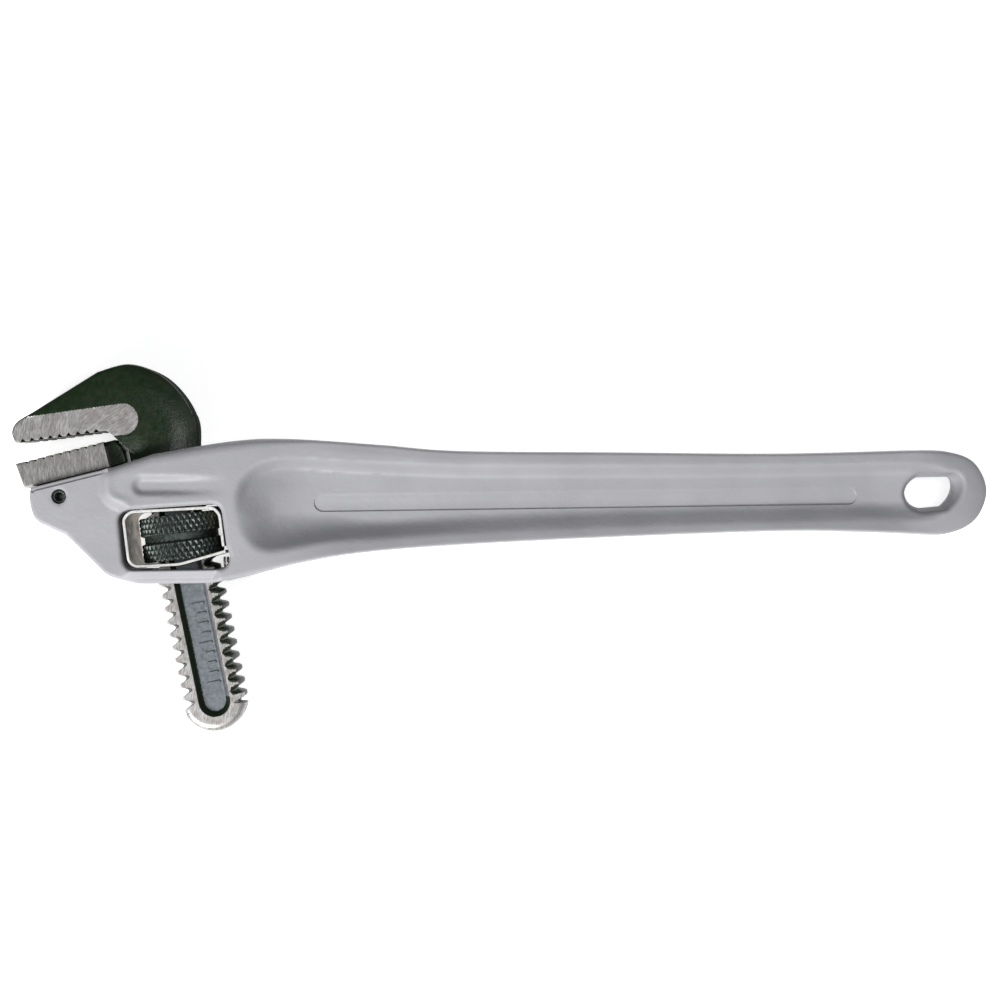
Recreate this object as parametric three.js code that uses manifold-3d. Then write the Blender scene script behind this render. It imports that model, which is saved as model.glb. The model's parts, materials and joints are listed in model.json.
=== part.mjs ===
// Offset pipe wrench, 350 mm size: an aluminium handle casting whose jaws open sideways,
// a pinned heel jaw, and a hook jaw on a flat threaded shank that an adjusting nut runs up and down.
//
// Wrench frame while building, in millimetres: the origin is the centre of the adjusting nut,
// +X runs along the handle to its hang hole, +Y points to the hook jaw, and Z is the thickness.
// The outer group is moved at the end, so that the finished part's origin is the middle of its box,
// at the bottom.
import * as THREE from "three";
import { mergeVertices } from "three/addons/utils/BufferGeometryUtils.js";
import Module from "manifold-3d";

const wasm = await Module();
wasm.setup();

// ---- Driving dimensions ----
const FIT = 0.3; // clearance between pieces that lie against each other
const OVERSHOOT = 1; // how far a cutting tool runs past the face it cuts

const BOSS_HALF = 15.5; // half thickness of the head around the shank
const PLATE_HALF = 12.5; // half thickness of the nose plate that carries the heel jaw
const WEB_HALF = 5.5; // half thickness of the web between the two flanges of the handle
const PANEL_DEPTH = 0.4; // depth of the long panel sunk into the web
const GROOVE_HALF = 12.8; // half thickness at the floor of the groove over the window
const GRIP_HALF = 10.5; // half thickness of the handle along the grip
const GRIP_END_HALF = 11; // half thickness at the hang hole
const HANDLE_END = 288.6; // X of the handle's end

const HEEL_TILT = THREE.MathUtils.degToRad(13.4);
const HEEL_CORNER = [-57.5, 26.7]; // the outer end of the heel jaw's tooth line
const HEEL_LENGTH = 32.2;
const HEEL_HEIGHT = 9.15;
const HEEL_HALF = 9; // half thickness of the heel jaw's ground block
const HEEL_LEAN = 1; // how far the outer end face leans in towards the handle
const HEEL_TEETH = 9;
const TOOTH_SHARE = 0.56; // share of each tooth's pitch that its notch takes
const HEEL_TOOTH = { pitch: 3.1, depth: 0.95, from: 3.2 };
const SHOULDER_HALF = 5.5; // half thickness of the rear shoulder beside the hook jaw
const SHOULDER = { end: 37.8, top: 35.6, chamfer: 4 }; // along the heel jaw's teeth
const TANG = { from: 5, to: 27, depth: 12, half: 4 };
const PIN_AT = [12.8, -15.2]; // in the heel jaw's own frame
const PIN_RADIUS = 2.35;
const PIN_WALL = 0.8;
const PIN_SLOT = 1;
const PIN_HALF_LENGTH = 11.4;

const SHANK_TILT = THREE.MathUtils.degToRad(11.1);
const SHANK_HALF = 6; // half thickness across the flats
const PITCH = 4.65; // thread pitch, single start, right-handed
const CREST_RADIUS = 11.5;
const ROOT_RADIUS = 8.9;
const CREST_WIDTH = 1.2;
const ROOT_WIDTH = 3;
const CREST_PHASE = 0.85; // height of the crest on the +X side, nearest the nut's centre
const SHANK_END = 59.3; // from the nut's centre down to the centre of the rounded end
const CHANNEL_RADIUS = 5.35; // half width of the recess along each flat of the shank
const CHANNEL_FLOOR = 3.6; // half thickness left between the two recesses
const THREAD_TOP = 21; // where the thread meets the plain neck
const NECK = { left: -11.5, right: 12.6, bottom: 21 };
const ROOM_TOP = 45; // how far the cuts for the shank and neck run above the nut's centre
const CLOSING_TRAVEL = 2; // how far the hook jaw can still close

const HOOK_HALF = 8.5; // half thickness of the hook's thick body
const FLAT_HALF = 7.9; // half thickness over the ground flat beside the teeth
const JAW_TIP = [-57.7, 34.2]; // the outer end of the hook jaw's tooth line
const JAW_TILT = THREE.MathUtils.degToRad(7);
const JAW_TEETH = 9;
const JAW_TOOTH = { pitch: 3.3, depth: -1.1, from: 1.6 };

const NUT_TILT = THREE.MathUtils.degToRad(6.6); // the nut leans less than the shank: loose thread
const NUT_RADIUS = 14.5;
const NUT_HALF = 8;
const NUT_GROOVE = { radius: 13.2, half: 1.5 };
const NUT_CHAMFER = 0.6;
const NUT_BORE = 12.3; // root radius of the nut's thread
const NUT_RIDGE = { radius: 9.7, tip: 0.45, base: 1.4 };

const WINDOW = { left: -20.7, right: 18.3, bottom: -11.9, top: 11.4, round: 3.5 };
const STRIP_HALF_THICKNESS = 0.4;
const STRIP_HALF_WIDTH = 13;
const STRIP_RELIEF = { from: 4, half: 11.8 }; // cut-out that clears the nut's lower edge
const ROCK_LIMIT = THREE.MathUtils.degToRad(2); // how far the hook jaw rocks in the head

const COIL = { radius: 2.1, wire: 0.45, turns: 6, from: 14.9, to: 22.6, at: -9.9 };
const COIL_POCKET = 12; // length of the cut that opens the coil spring's seat
const LEAF = { thickness: 0.7, half: 4, from: 13, to: 29, bow: 0.9 };
const LEAF_POCKET = { depth: 2.4, below: 1.2, above: 14 }; // behind the neck, open at the top

// ---- Solids ----
function solid(geometry) {
  const bare = new THREE.BufferGeometry();
  bare.setAttribute("position", geometry.getAttribute("position"));
  bare.setIndex(geometry.index);
  const merged = mergeVertices(bare, 1e-4);
  const made = new wasm.Manifold(
    new wasm.Mesh({
      numProp: 3,
      vertProperties: merged.attributes.position.array,
      triVerts: new Uint32Array(merged.index.array),
    }),
  );
  return made.volume() < 0 ? solid(flipped(merged)) : made;
}

function flipped(geometry) {
  const corners = geometry.index.array;
  for (let i = 0; i < corners.length; i += 3) {
    [corners[i + 1], corners[i + 2]] = [corners[i + 2], corners[i + 1]];
  }
  return geometry;
}

function geometryOf(made) {
  const { vertProperties, triVerts } = made.getMesh();
  const geometry = new THREE.BufferGeometry();
  geometry.setAttribute("position", new THREE.BufferAttribute(vertProperties, 3));
  geometry.setIndex(new THREE.BufferAttribute(triVerts, 1));
  const faceted = geometry.toNonIndexed();
  faceted.computeVertexNormals();
  return faceted;
}

// A shape in X and Y, made solid from one Z to another.
function plate(shape, low, high, curveSegments = 6) {
  const geometry = new THREE.ExtrudeGeometry(shape, {
    depth: high - low,
    bevelEnabled: false,
    curveSegments,
  });
  return solid(geometry.translate(0, 0, low));
}

// The same, from -half to +half.
function slab(shape, half, curveSegments) {
  return plate(shape, -half, half, curveSegments);
}

function turned(made, angle) {
  return made.rotate([0, 0, THREE.MathUtils.radToDeg(angle)]);
}

function polygon(corners) {
  return new THREE.Shape(corners.map(([x, y]) => new THREE.Vector2(x, y)));
}

function rectangle(left, bottom, right, top) {
  return polygon([
    [left, bottom],
    [right, bottom],
    [right, top],
    [left, top],
  ]);
}

function roundedRectangle({ left, right, bottom, top, round }) {
  const shape = new THREE.Shape();
  shape.absarc(right - round, bottom + round, round, -Math.PI / 2, 0);
  shape.absarc(right - round, top - round, round, 0, Math.PI / 2);
  shape.absarc(left + round, top - round, round, Math.PI / 2, Math.PI);
  shape.absarc(left + round, bottom + round, round, Math.PI, 1.5 * Math.PI);
  shape.closePath();
  return shape;
}

// A stadium between two round ends.
function stadium([x0, y0], [x1, y1], radius) {
  const along = Math.atan2(y1 - y0, x1 - x0);
  const shape = new THREE.Shape();
  shape.absarc(x0, y0, radius, along + Math.PI / 2, along + 1.5 * Math.PI);
  shape.absarc(x1, y1, radius, along - Math.PI / 2, along + Math.PI / 2);
  shape.closePath();
  return shape;
}

function circle([x, y], radius) {
  return new THREE.Shape().absarc(x, y, radius, 0, 2 * Math.PI);
}

function smoothThrough(shape, points) {
  return shape.splineThru(points.map(([x, y]) => new THREE.Vector2(x, y)));
}

// A point of a piece's own frame, given the frame's corner and tilt, in the wrench frame.
function placed([x, y], [cornerX, cornerY], tilt) {
  const point = new THREE.Vector2(x, y).rotateAround(new THREE.Vector2(), tilt);
  return [point.x + cornerX, point.y + cornerY];
}

// ---- Thread ----
// A helix about +Y that carries a section whose X is the radius and whose Y is the height.
class ThreadPath extends THREE.Curve {
  constructor(low, high) {
    super();
    this.low = low;
    this.turns = (high - low) / PITCH;
  }

  angleAt(t) {
    return ((this.low - CREST_PHASE) / PITCH + t * this.turns) * 2 * Math.PI;
  }

  getPoint(t, target = new THREE.Vector3()) {
    return target.set(0, this.low + t * this.turns * PITCH, 0);
  }

  getSpacedPoints(steps) {
    return Array.from({ length: steps + 1 }, (_, i) => this.getPoint(i / steps));
  }

  computeFrenetFrames(steps) {
    const angles = Array.from({ length: steps + 1 }, (_, i) => this.angleAt(i / steps));
    const radial = (a) => new THREE.Vector3(Math.cos(a), 0, -Math.sin(a));
    return {
      tangents: angles.map((a) => radial(a + Math.PI / 2)),
      normals: angles.map(radial),
      binormals: angles.map(() => new THREE.Vector3(0, 1, 0)),
    };
  }
}

function threadRidge({ inner, outer, innerWidth, outerWidth, low, high, lift = 0 }) {
  const path = new ThreadPath(low, high);
  const section = polygon([
    [inner, lift - innerWidth / 2],
    [outer, lift - outerWidth / 2],
    [outer, lift + outerWidth / 2],
    [inner, lift + innerWidth / 2],
  ]);
  const stepsPerTurn = 18;
  const steps = Math.ceil(path.turns * stepsPerTurn);
  return solid(new THREE.ExtrudeGeometry(section, { steps, extrudePath: path }));
}

// ---- Handle casting ----
function heelPoint(point) {
  return placed(point, HEEL_CORNER, HEEL_TILT);
}

function handleOutline() {
  const seat = -HEEL_HEIGHT - FIT;
  const shape = new THREE.Shape();
  shape.moveTo(...heelPoint([3.5, seat]));
  smoothThrough(shape, [
    [-52.4, 13.8],
    [-50.4, 6.9],
    [-45, 3.5],
    [-39.5, 1],
  ]);
  shape.lineTo(-28.5, -10.1);
  smoothThrough(shape, [
    [-24, -13.9],
    [-14, -16.8],
  ]);
  shape.lineTo(12, -16.8);
  smoothThrough(shape, [
    [24, -14.3],
    [43.4, -9.8],
    [65, -6.5],
    [100, -4.1],
    [157, -1.9],
    [214, -0.5],
    [243, -1.1],
    [262, -2],
  ]);
  smoothThrough(shape, [
    [274.8, -2.2],
    [284.6, 2.9],
    [HANDLE_END, 13.3],
    [284.4, 23.2],
    [275.4, 27.3],
    [262, 27.8],
  ]);
  smoothThrough(shape, [
    [214, 27.2],
    [157, 28.3],
    [100, 29.5],
    [72, 32],
    [40, 34.5],
    [20, 34.1],
    [-8, 29.9],
  ]);
  shape.lineTo(...heelPoint([HEEL_LENGTH + 2, seat]));
  shape.closePath();
  return shape;
}

// Half thickness along the handle, as an outline in X and thickness.
function thicknessOutline() {
  const half = [
    [-70, BOSS_HALF],
    [24, BOSS_HALF],
    [40, 14.2],
    [70, 12],
    [110, GRIP_HALF],
    [235, GRIP_HALF - 0.5],
    [262, GRIP_END_HALF],
    [282, GRIP_END_HALF],
    [300, 7],
  ];
  const under = half.map(([x, z]) => [x, -z]).reverse();
  return polygon([...half, ...under]);
}

// What one face of the handle loses between its flanges: the web's recess, the long panel sunk
// into the web, and the groove over the window.
function webRecess() {
  const recess = new THREE.Shape();
  recess.moveTo(19.3, 17.5);
  smoothThrough(recess, [
    [19.6, 9],
    [22.8, -0.6],
    [32.9, -6.2],
    [57, -2.8],
    [100, -0.2],
    [157, 1.8],
    [214, 3.2],
    [243, 3.6],
  ]);
  smoothThrough(recess, [
    [250.5, 6.4],
    [253, 13],
    [250, 20.6],
    [243, 23.6],
  ]);
  smoothThrough(recess, [
    [214, 23.4],
    [157, 24],
    [100, 24.6],
    [60, 26],
    [32, 24.6],
    [19.3, 17.5],
  ]);
  const panel = stadium([51.3, 11.4], [239.3, 11.8], 3);
  const groove = stadium([-12.7, 18.2], [24, 17.6], 3);
  const above = BOSS_HALF + OVERSHOOT;
  return plate(recess, WEB_HALF, above, 3)
    .add(plate(panel, WEB_HALF - PANEL_DEPTH, above, 6))
    .add(plate(groove, GROOVE_HALF, above, 6));
}

// What the nose plate loses on one face: everything left of the boss and beside the window.
function noseRelief() {
  const shape = new THREE.Shape();
  shape.moveTo(-70, 40);
  shape.lineTo(-70, -30);
  shape.lineTo(14, -30);
  shape.lineTo(14, WINDOW.bottom - 1);
  shape.lineTo(WINDOW.left + 2, WINDOW.bottom - 1);
  shape.lineTo(WINDOW.left + 2, WINDOW.top - 1);
  smoothThrough(shape, [
    [-23.6, 13],
    [-25.2, 18],
    [-25, 40],
  ]);
  shape.closePath();
  return plate(shape, PLATE_HALF, BOSS_HALF + OVERSHOOT);
}

// The straight room that the flat shank runs in, along +Y.
function shankRoom() {
  const side = CREST_RADIUS + FIT + 0.2;
  return slab(rectangle(-side, -30, side, ROOM_TOP), SHANK_HALF + FIT + 0.1);
}

// The way through the head for the shank and the neck, wide enough for the hook jaw to rock.
function headPassage() {
  const neckFloor = NECK.bottom - CLOSING_TRAVEL - OVERSHOOT;
  const neck = rectangle(NECK.left - FIT, neckFloor, NECK.right + FIT, ROOM_TOP);
  const rocked = (made) => {
    const steps = [0, 0.5, 1].map((share) => turned(made, SHANK_TILT + share * ROCK_LIMIT));
    return steps[0].add(steps[1]).add(steps[2]);
  };
  return rocked(shankRoom()).add(rocked(slab(neck, HOOK_HALF + FIT)));
}

function hangHole() {
  const shape = new THREE.Shape();
  shape.moveTo(263.4, 18.2);
  shape.quadraticCurveTo(259.2, 17, 259.4, 13.4);
  shape.quadraticCurveTo(259.8, 7.4, 265.4, 7.2);
  shape.lineTo(271.6, 7.6);
  shape.quadraticCurveTo(276.6, 8.4, 276.5, 13);
  shape.quadraticCurveTo(276.4, 18, 271.4, 18.2);
  shape.closePath();
  return slab(shape, BOSS_HALF + OVERSHOOT, 5);
}

function handleCasting() {
  const width = 80;
  const side = solid(
    new THREE.ExtrudeGeometry(thicknessOutline(), { depth: 2 * width, bevelEnabled: false })
      .translate(0, 0, -width)
      .rotateX(Math.PI / 2),
  );
  const tangSlot = slab(
    rectangle(TANG.from - FIT, -HEEL_HEIGHT - TANG.depth - FIT, TANG.to + FIT, 0),
    TANG.half + FIT,
  );
  const pinHole = slab(circle(PIN_AT, PIN_RADIUS + FIT), BOSS_HALF, 16);
  const coilRoom = COIL.radius + COIL.wire + FIT;
  const coilPocket = solid(
    new THREE.CylinderGeometry(coilRoom, coilRoom, COIL_POCKET, 20)
      .rotateZ(Math.PI / 2)
      .translate(COIL.to + FIT - COIL_POCKET / 2, COIL.at, 0),
  );
  const leafPocket = slab(
    rectangle(
      NECK.right - OVERSHOOT,
      LEAF.from - LEAF_POCKET.below,
      NECK.right + LEAF_POCKET.depth,
      LEAF.to + LEAF_POCKET.above,
    ),
    LEAF.half + FIT,
  );
  const inHeelFrame = (made) => turned(made, HEEL_TILT).translate([...HEEL_CORNER, 0]);
  let body = slab(handleOutline(), BOSS_HALF, 3).intersect(side);
  for (const cut of [webRecess(), noseRelief()]) {
    body = body.subtract(cut).subtract(cut.mirror([0, 0, 1]));
  }
  return body
    .subtract(slab(roundedRectangle(WINDOW), BOSS_HALF + OVERSHOOT))
    .subtract(headPassage())
    .subtract(hangHole())
    .subtract(inHeelFrame(tangSlot.add(pinHole)))
    .subtract(coilPocket)
    .subtract(turned(leafPocket, SHANK_TILT));
}

// ---- Heel jaw, in its own frame: X along the teeth, Y out of them, from the outer end ----
function toothRow(count, { pitch, depth, from }) {
  const corners = [];
  const notch = pitch * TOOTH_SHARE;
  for (let i = 0; i < count; i++) {
    const at = from + i * pitch;
    corners.push([at, 0], [at + notch / 2, -depth], [at + notch, 0]);
  }
  return corners;
}

function heelJaw() {
  const block = polygon([
    [0, 0],
    [HEEL_LEAN, -HEEL_HEIGHT],
    [HEEL_LENGTH, -HEEL_HEIGHT],
    [HEEL_LENGTH, 0],
    ...toothRow(HEEL_TEETH, HEEL_TOOTH).reverse(),
  ]);
  const shoulder = polygon([
    [HEEL_LENGTH - OVERSHOOT, -HEEL_HEIGHT],
    [SHOULDER.end, -HEEL_HEIGHT],
    [SHOULDER.end, -SHOULDER.chamfer],
    [SHOULDER.top, 0],
    [HEEL_LENGTH - OVERSHOOT, 0],
  ]);
  const tang = rectangle(TANG.from, -HEEL_HEIGHT - TANG.depth, TANG.to, -HEEL_HEIGHT + OVERSHOOT);
  const pinHole = slab(circle(PIN_AT, PIN_RADIUS + FIT), HEEL_HALF, 16);
  return slab(block, HEEL_HALF)
    .add(slab(shoulder, SHOULDER_HALF))
    .add(slab(tang, TANG.half))
    .subtract(pinHole);
}

// A rolled spring pin: a tube with a slot down one side.
function heelJawPin() {
  const inner = PIN_RADIUS - PIN_WALL;
  const halfSlot = PIN_SLOT / 2;
  const shape = new THREE.Shape();
  shape.absarc(0, 0, PIN_RADIUS, Math.asin(halfSlot / PIN_RADIUS), -Math.asin(halfSlot / PIN_RADIUS));
  shape.absarc(0, 0, inner, -Math.asin(halfSlot / inner), Math.asin(halfSlot / inner), true);
  shape.closePath();
  return slab(shape, PIN_HALF_LENGTH, 12);
}

// ---- Hook jaw ----
function jawPoint(point) {
  return placed(point, JAW_TIP, JAW_TILT);
}

function shankPoint(point) {
  return placed(point, [0, 0], SHANK_TILT);
}

// The thick body of the hook, in the wrench frame.
function hookOutline() {
  const shape = new THREE.Shape();
  shape.moveTo(...jawPoint([0, 0]));
  for (const corner of toothRow(JAW_TEETH, JAW_TOOTH)) {
    shape.lineTo(...jawPoint(corner));
  }
  shape.lineTo(...jawPoint([32.8, 0]));
  smoothThrough(shape, [
    [-22.1, 35.6],
    [-19.6, 32.9],
    shankPoint([-9.7, 32]),
  ]);
  shape.lineTo(...shankPoint([-9.7, NECK.bottom]));
  shape.lineTo(...shankPoint([NECK.right, NECK.bottom]));
  shape.lineTo(...shankPoint([NECK.right, 31]));
  smoothThrough(shape, [
    [6, 41.7],
    [1.3, 51],
    [-6.5, 58.4],
    [-17.2, 61.9],
    [-28.3, 59.2],
  ]);
  shape.lineTo(-51.4, 45.2);
  smoothThrough(shape, [
    [-57.1, 41.7],
    [-59, 38],
    jawPoint([0, 0]),
  ]);
  return shape;
}

// The ground flat beside the teeth, cut into both faces of the hook.
function groundFlat() {
  const end = [-19.4, 42.1];
  const radius = 5.6;
  const shape = new THREE.Shape();
  shape.moveTo(-70, 40.6);
  shape.lineTo(-70, 30);
  shape.lineTo(end[0] - 3, 30);
  shape.lineTo(end[0] - 3, end[1] - radius);
  shape.absarc(...end, radius, -Math.PI / 2, Math.PI / 2 + 0.14);
  shape.closePath();
  return shape;
}

function hookJaw() {
  const low = -SHANK_END - CREST_RADIUS;
  const ridge = threadRidge({
    inner: ROOT_RADIUS - 0.4,
    outer: CREST_RADIUS,
    innerWidth: ROOT_WIDTH,
    outerWidth: CREST_WIDTH,
    low: low - PITCH,
    high: THREAD_TOP + PITCH,
  });
  const core = solid(
    new THREE.CylinderGeometry(ROOT_RADIUS, ROOT_RADIUS, THREAD_TOP - low, 36)
      .translate(0, (THREAD_TOP + low) / 2, 0),
  );
  const envelope = new THREE.Shape();
  envelope.absarc(0, -SHANK_END, CREST_RADIUS, Math.PI, 2 * Math.PI);
  envelope.lineTo(CREST_RADIUS, THREAD_TOP);
  envelope.lineTo(-CREST_RADIUS, THREAD_TOP);
  envelope.closePath();
  const channel = stadium([0, -SHANK_END - 0.9], [0, 10], CHANNEL_RADIUS);
  const channelCut = plate(channel, CHANNEL_FLOOR, SHANK_HALF + OVERSHOOT, 8);
  const shank = ridge
    .add(core)
    .intersect(slab(envelope, SHANK_HALF, 12))
    .subtract(channelCut)
    .subtract(channelCut.mirror([0, 0, 1]));
  const neck = rectangle(NECK.left, THREAD_TOP - OVERSHOOT, NECK.right - 1, 37);
  const flat = plate(groundFlat(), FLAT_HALF, HOOK_HALF + OVERSHOOT, 8);
  const shoulderRoom = rectangle(HEEL_LENGTH + 1, -HEEL_HEIGHT - 4, HEEL_LENGTH + 14, 3.4);
  const besideNeck = rectangle(NECK.left, 0, NECK.left + 40, 60);
  const notch = turned(slab(shoulderRoom, SHOULDER_HALF + FIT), HEEL_TILT)
    .translate([...HEEL_CORNER, 0])
    .subtract(turned(slab(besideNeck, HOOK_HALF), SHANK_TILT));
  const hook = slab(hookOutline(), HOOK_HALF, 5);
  return turned(shank.add(slab(neck, SHANK_HALF)), SHANK_TILT)
    .add(hook)
    .subtract(notch)
    .subtract(flat)
    .subtract(flat.mirror([0, 0, 1]));
}

// ---- Adjusting nut, about its own +Y ----
function adjustingNut() {
  const half = [
    [NUT_GROOVE.radius, 0],
    [NUT_GROOVE.radius, NUT_GROOVE.half - 0.3],
    [NUT_RADIUS, NUT_GROOVE.half + 0.3],
    [NUT_RADIUS, NUT_HALF - NUT_CHAMFER],
    [NUT_RADIUS - NUT_CHAMFER, NUT_HALF],
    [NUT_BORE, NUT_HALF],
  ];
  const lower = half.slice(1).map(([r, y]) => [r, -y]).reverse();
  const profile = [...lower, ...half, lower[0]].map(([r, y]) => new THREE.Vector2(r, y));
  const ring = solid(new THREE.LatheGeometry(profile, 48));
  const bounds = solid(new THREE.CylinderGeometry(NUT_RADIUS, NUT_RADIUS, 2 * NUT_HALF, 48));
  const ridge = threadRidge({
    inner: NUT_RIDGE.radius,
    outer: NUT_BORE + 0.5,
    innerWidth: NUT_RIDGE.tip,
    outerWidth: NUT_RIDGE.base,
    low: -NUT_HALF - PITCH,
    high: NUT_HALF + PITCH,
    lift: PITCH / 2,
  });
  return ring.add(ridge.intersect(bounds));
}

// ---- Springs ----
// The bright strip that lines the window and holds the nut, bent to an open frame.
function nutSpringFrame() {
  const middle = [
    [16.7, -3.4],
    [15.4, 8.1],
    [13, 10.4],
    [-16.3, 9.1],
    [-18.6, 6.7],
    [-16.9, -8.3],
    [-14.7, -10.3],
    [1, -9.6],
    [17.4, -5.2],
  ].map(([x, y]) => new THREE.Vector2(x, y));
  const left = [];
  const right = [];
  middle.forEach((point, i) => {
    const before = middle[Math.max(i - 1, 0)];
    const after = middle[Math.min(i + 1, middle.length - 1)];
    const into = point.clone().sub(before).normalize();
    const out = after.clone().sub(point).normalize();
    const along = into.add(out).normalize();
    const offset = new THREE.Vector2(-along.y, along.x).multiplyScalar(STRIP_HALF_THICKNESS);
    left.push(point.clone().add(offset));
    right.unshift(point.clone().sub(offset));
  });
  const relief = rectangle(STRIP_RELIEF.from, -13, 20, -4.2);
  return slab(new THREE.Shape([...left, ...right]), STRIP_HALF_WIDTH)
    .subtract(slab(relief, STRIP_RELIEF.half))
    .subtract(turned(shankRoom(), SHANK_TILT));
}

// The small coil spring between the head and the shank, along X.
class CoilPath extends THREE.Curve {
  getPoint(t, target = new THREE.Vector3()) {
    const angle = t * COIL.turns * 2 * Math.PI;
    const start = COIL.from + COIL.wire;
    const run = COIL.to - COIL.from - 2 * COIL.wire;
    return target.set(start + t * run, COIL.radius * Math.cos(angle), COIL.radius * Math.sin(angle));
  }
}

function coilSpring() {
  const stepsPerTurn = 12;
  const section = circle([0, 0], COIL.wire);
  const geometry = new THREE.ExtrudeGeometry(section, {
    steps: COIL.turns * stepsPerTurn,
    curveSegments: 3,
    extrudePath: new CoilPath(),
  });
  return solid(geometry.translate(0, COIL.at, 0));
}

// The flat spring behind the neck, bowed along the shank, in the shank's frame.
function flatSpring() {
  const back = NECK.right + LEAF_POCKET.depth - FIT + 0.1;
  const shape = new THREE.Shape();
  const middle = (LEAF.from + LEAF.to) / 2;
  shape.moveTo(back - LEAF.thickness, LEAF.from);
  shape.quadraticCurveTo(back - LEAF.thickness - LEAF.bow, middle, back - LEAF.thickness, LEAF.to);
  shape.lineTo(back, LEAF.to);
  shape.quadraticCurveTo(back - LEAF.bow, middle, back, LEAF.from);
  shape.closePath();
  return slab(shape, LEAF.half, 6);
}

// ---- Assembly ----
const paint = new THREE.MeshStandardMaterial({ color: 0xb4b3ba, roughness: 0.45, metalness: 0.3 });
const groundSteel = new THREE.MeshStandardMaterial({
  color: 0xa3a19f,
  roughness: 0.35,
  metalness: 0.9,
});
const blackOxide = new THREE.MeshStandardMaterial({
  color: 0x1c221c,
  roughness: 0.4,
  metalness: 0.7,
});
const nutSteel = new THREE.MeshStandardMaterial({ color: 0x3d4346, roughness: 0.4, metalness: 0.8 });
const springSteel = new THREE.MeshStandardMaterial({
  color: 0xd8d8d6,
  roughness: 0.15,
  metalness: 1,
});

function piece(name, made, material) {
  const mesh = new THREE.Mesh(geometryOf(made), material);
  mesh.name = name;
  return mesh;
}

const head = new THREE.Group();
head.add(piece("handle_casting", handleCasting(), paint));

const heel = new THREE.Group();
heel.position.set(...HEEL_CORNER, 0);
heel.rotation.z = HEEL_TILT;
heel.add(piece("heel_jaw", heelJaw(), groundSteel));
const pin = piece("heel_jaw_pin", heelJawPin(), springSteel);
pin.position.set(...PIN_AT, 0);
heel.add(pin);

const flat = piece("flat_spring", flatSpring(), springSteel);
flat.rotation.z = SHANK_TILT;

const nut = piece("adjusting_nut", adjustingNut(), nutSteel);
nut.rotation.z = NUT_TILT;

head.add(
  heel,
  flat,
  nut,
  piece("coil_spring", coilSpring(), springSteel),
  piece("hook_jaw", hookJaw(), blackOxide),
  piece("nut_spring_frame", nutSpringFrame(), springSteel),
);

const box = new THREE.Box3().setFromObject(head);
const middle = box.getCenter(new THREE.Vector3());
head.position.set(-middle.x, -middle.y, -box.min.z);

const wrench = new THREE.Group();
wrench.add(head);

export default wrench;
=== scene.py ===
"""Looks of the offset pipe wrench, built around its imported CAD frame.

Shapes are drawn in millimetres in the wrench frame: the origin is the nut's centre, X runs along the
handle, Y towards the hook jaw, and Z is the thickness. place() moves them into the row frame, in metres.
"""

import json
import math

import bpy
import numpy as np
from mathutils import Matrix, Vector
from mathutils.geometry import delaunay_2d_cdt


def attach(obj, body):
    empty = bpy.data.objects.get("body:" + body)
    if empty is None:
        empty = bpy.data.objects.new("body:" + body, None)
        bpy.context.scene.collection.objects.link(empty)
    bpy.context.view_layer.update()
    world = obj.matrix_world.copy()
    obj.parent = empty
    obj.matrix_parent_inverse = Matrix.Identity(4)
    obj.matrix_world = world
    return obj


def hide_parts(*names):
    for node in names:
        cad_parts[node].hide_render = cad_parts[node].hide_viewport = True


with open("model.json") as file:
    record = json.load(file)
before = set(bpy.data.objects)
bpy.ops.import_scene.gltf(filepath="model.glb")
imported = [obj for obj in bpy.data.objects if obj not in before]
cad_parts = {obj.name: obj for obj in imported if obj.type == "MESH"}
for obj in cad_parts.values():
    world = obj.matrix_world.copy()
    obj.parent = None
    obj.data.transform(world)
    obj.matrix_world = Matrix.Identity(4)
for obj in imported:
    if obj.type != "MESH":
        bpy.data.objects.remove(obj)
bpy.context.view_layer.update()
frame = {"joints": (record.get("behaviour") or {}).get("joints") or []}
joints = {joint["name"]: joint for joint in frame["joints"]}

MM = 0.001
NUT_CENTRE = Vector(joints["nut_spin"]["pos_m"])
SHANK_AXIS = Vector(joints["hook_slide"]["axis"])
NUT_AXIS = -Vector(joints["nut_spin"]["axis"])
SHANK_TILT = math.atan2(-SHANK_AXIS.x, SHANK_AXIS.y)
NUT_TILT = math.atan2(-NUT_AXIS.x, NUT_AXIS.y)

# ---- Dimensions shared by the pieces, in millimetres ----
BOSS_HALF = 15.5  # half thickness of the head around the shank
PLATE_HALF = 12.5  # half thickness of the nose plate
WEB_HALF = 5.5  # half thickness of the web between the flanges
PANEL = ((51.3, 11.4), (239.3, 11.8), 3.0)  # the long sunken panel: its two ends and its radius
PANEL_DEPTH = 0.5
GROOVE_DEPTH = 1.7  # depth of the soft groove over the window
HOLE_FLARE = 1.2  # how much the hang hole widens from the parting line to each face
DRAFT = 0.35  # how far the casting's side walls lean in from the parting line to each face
RIDGE = {"height": 0.18, "share": 0.045}  # the ground-off parting line around the casting

HEEL_CORNER = (-57.5, 26.7)  # outer end of the heel jaw's tooth line
HEEL_TILT = math.radians(13.4)
HEEL_LENGTH = 32.2
HEEL_HEIGHT = 9.15
HEEL_HALF = 9.0
SHOULDER_HALF = 5.5
PIN_AT = (12.8, -15.2)  # in the heel jaw's frame
PIN_RADIUS = 2.35

JAW_TIP = (-57.7, 34.2)  # outer end of the hook jaw's tooth line
JAW_TILT = math.radians(7.0)
HOOK_HALF = 8.5
FLAT_DEPTH = 0.6  # how deep the ground flat lies in the hook's face

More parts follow.
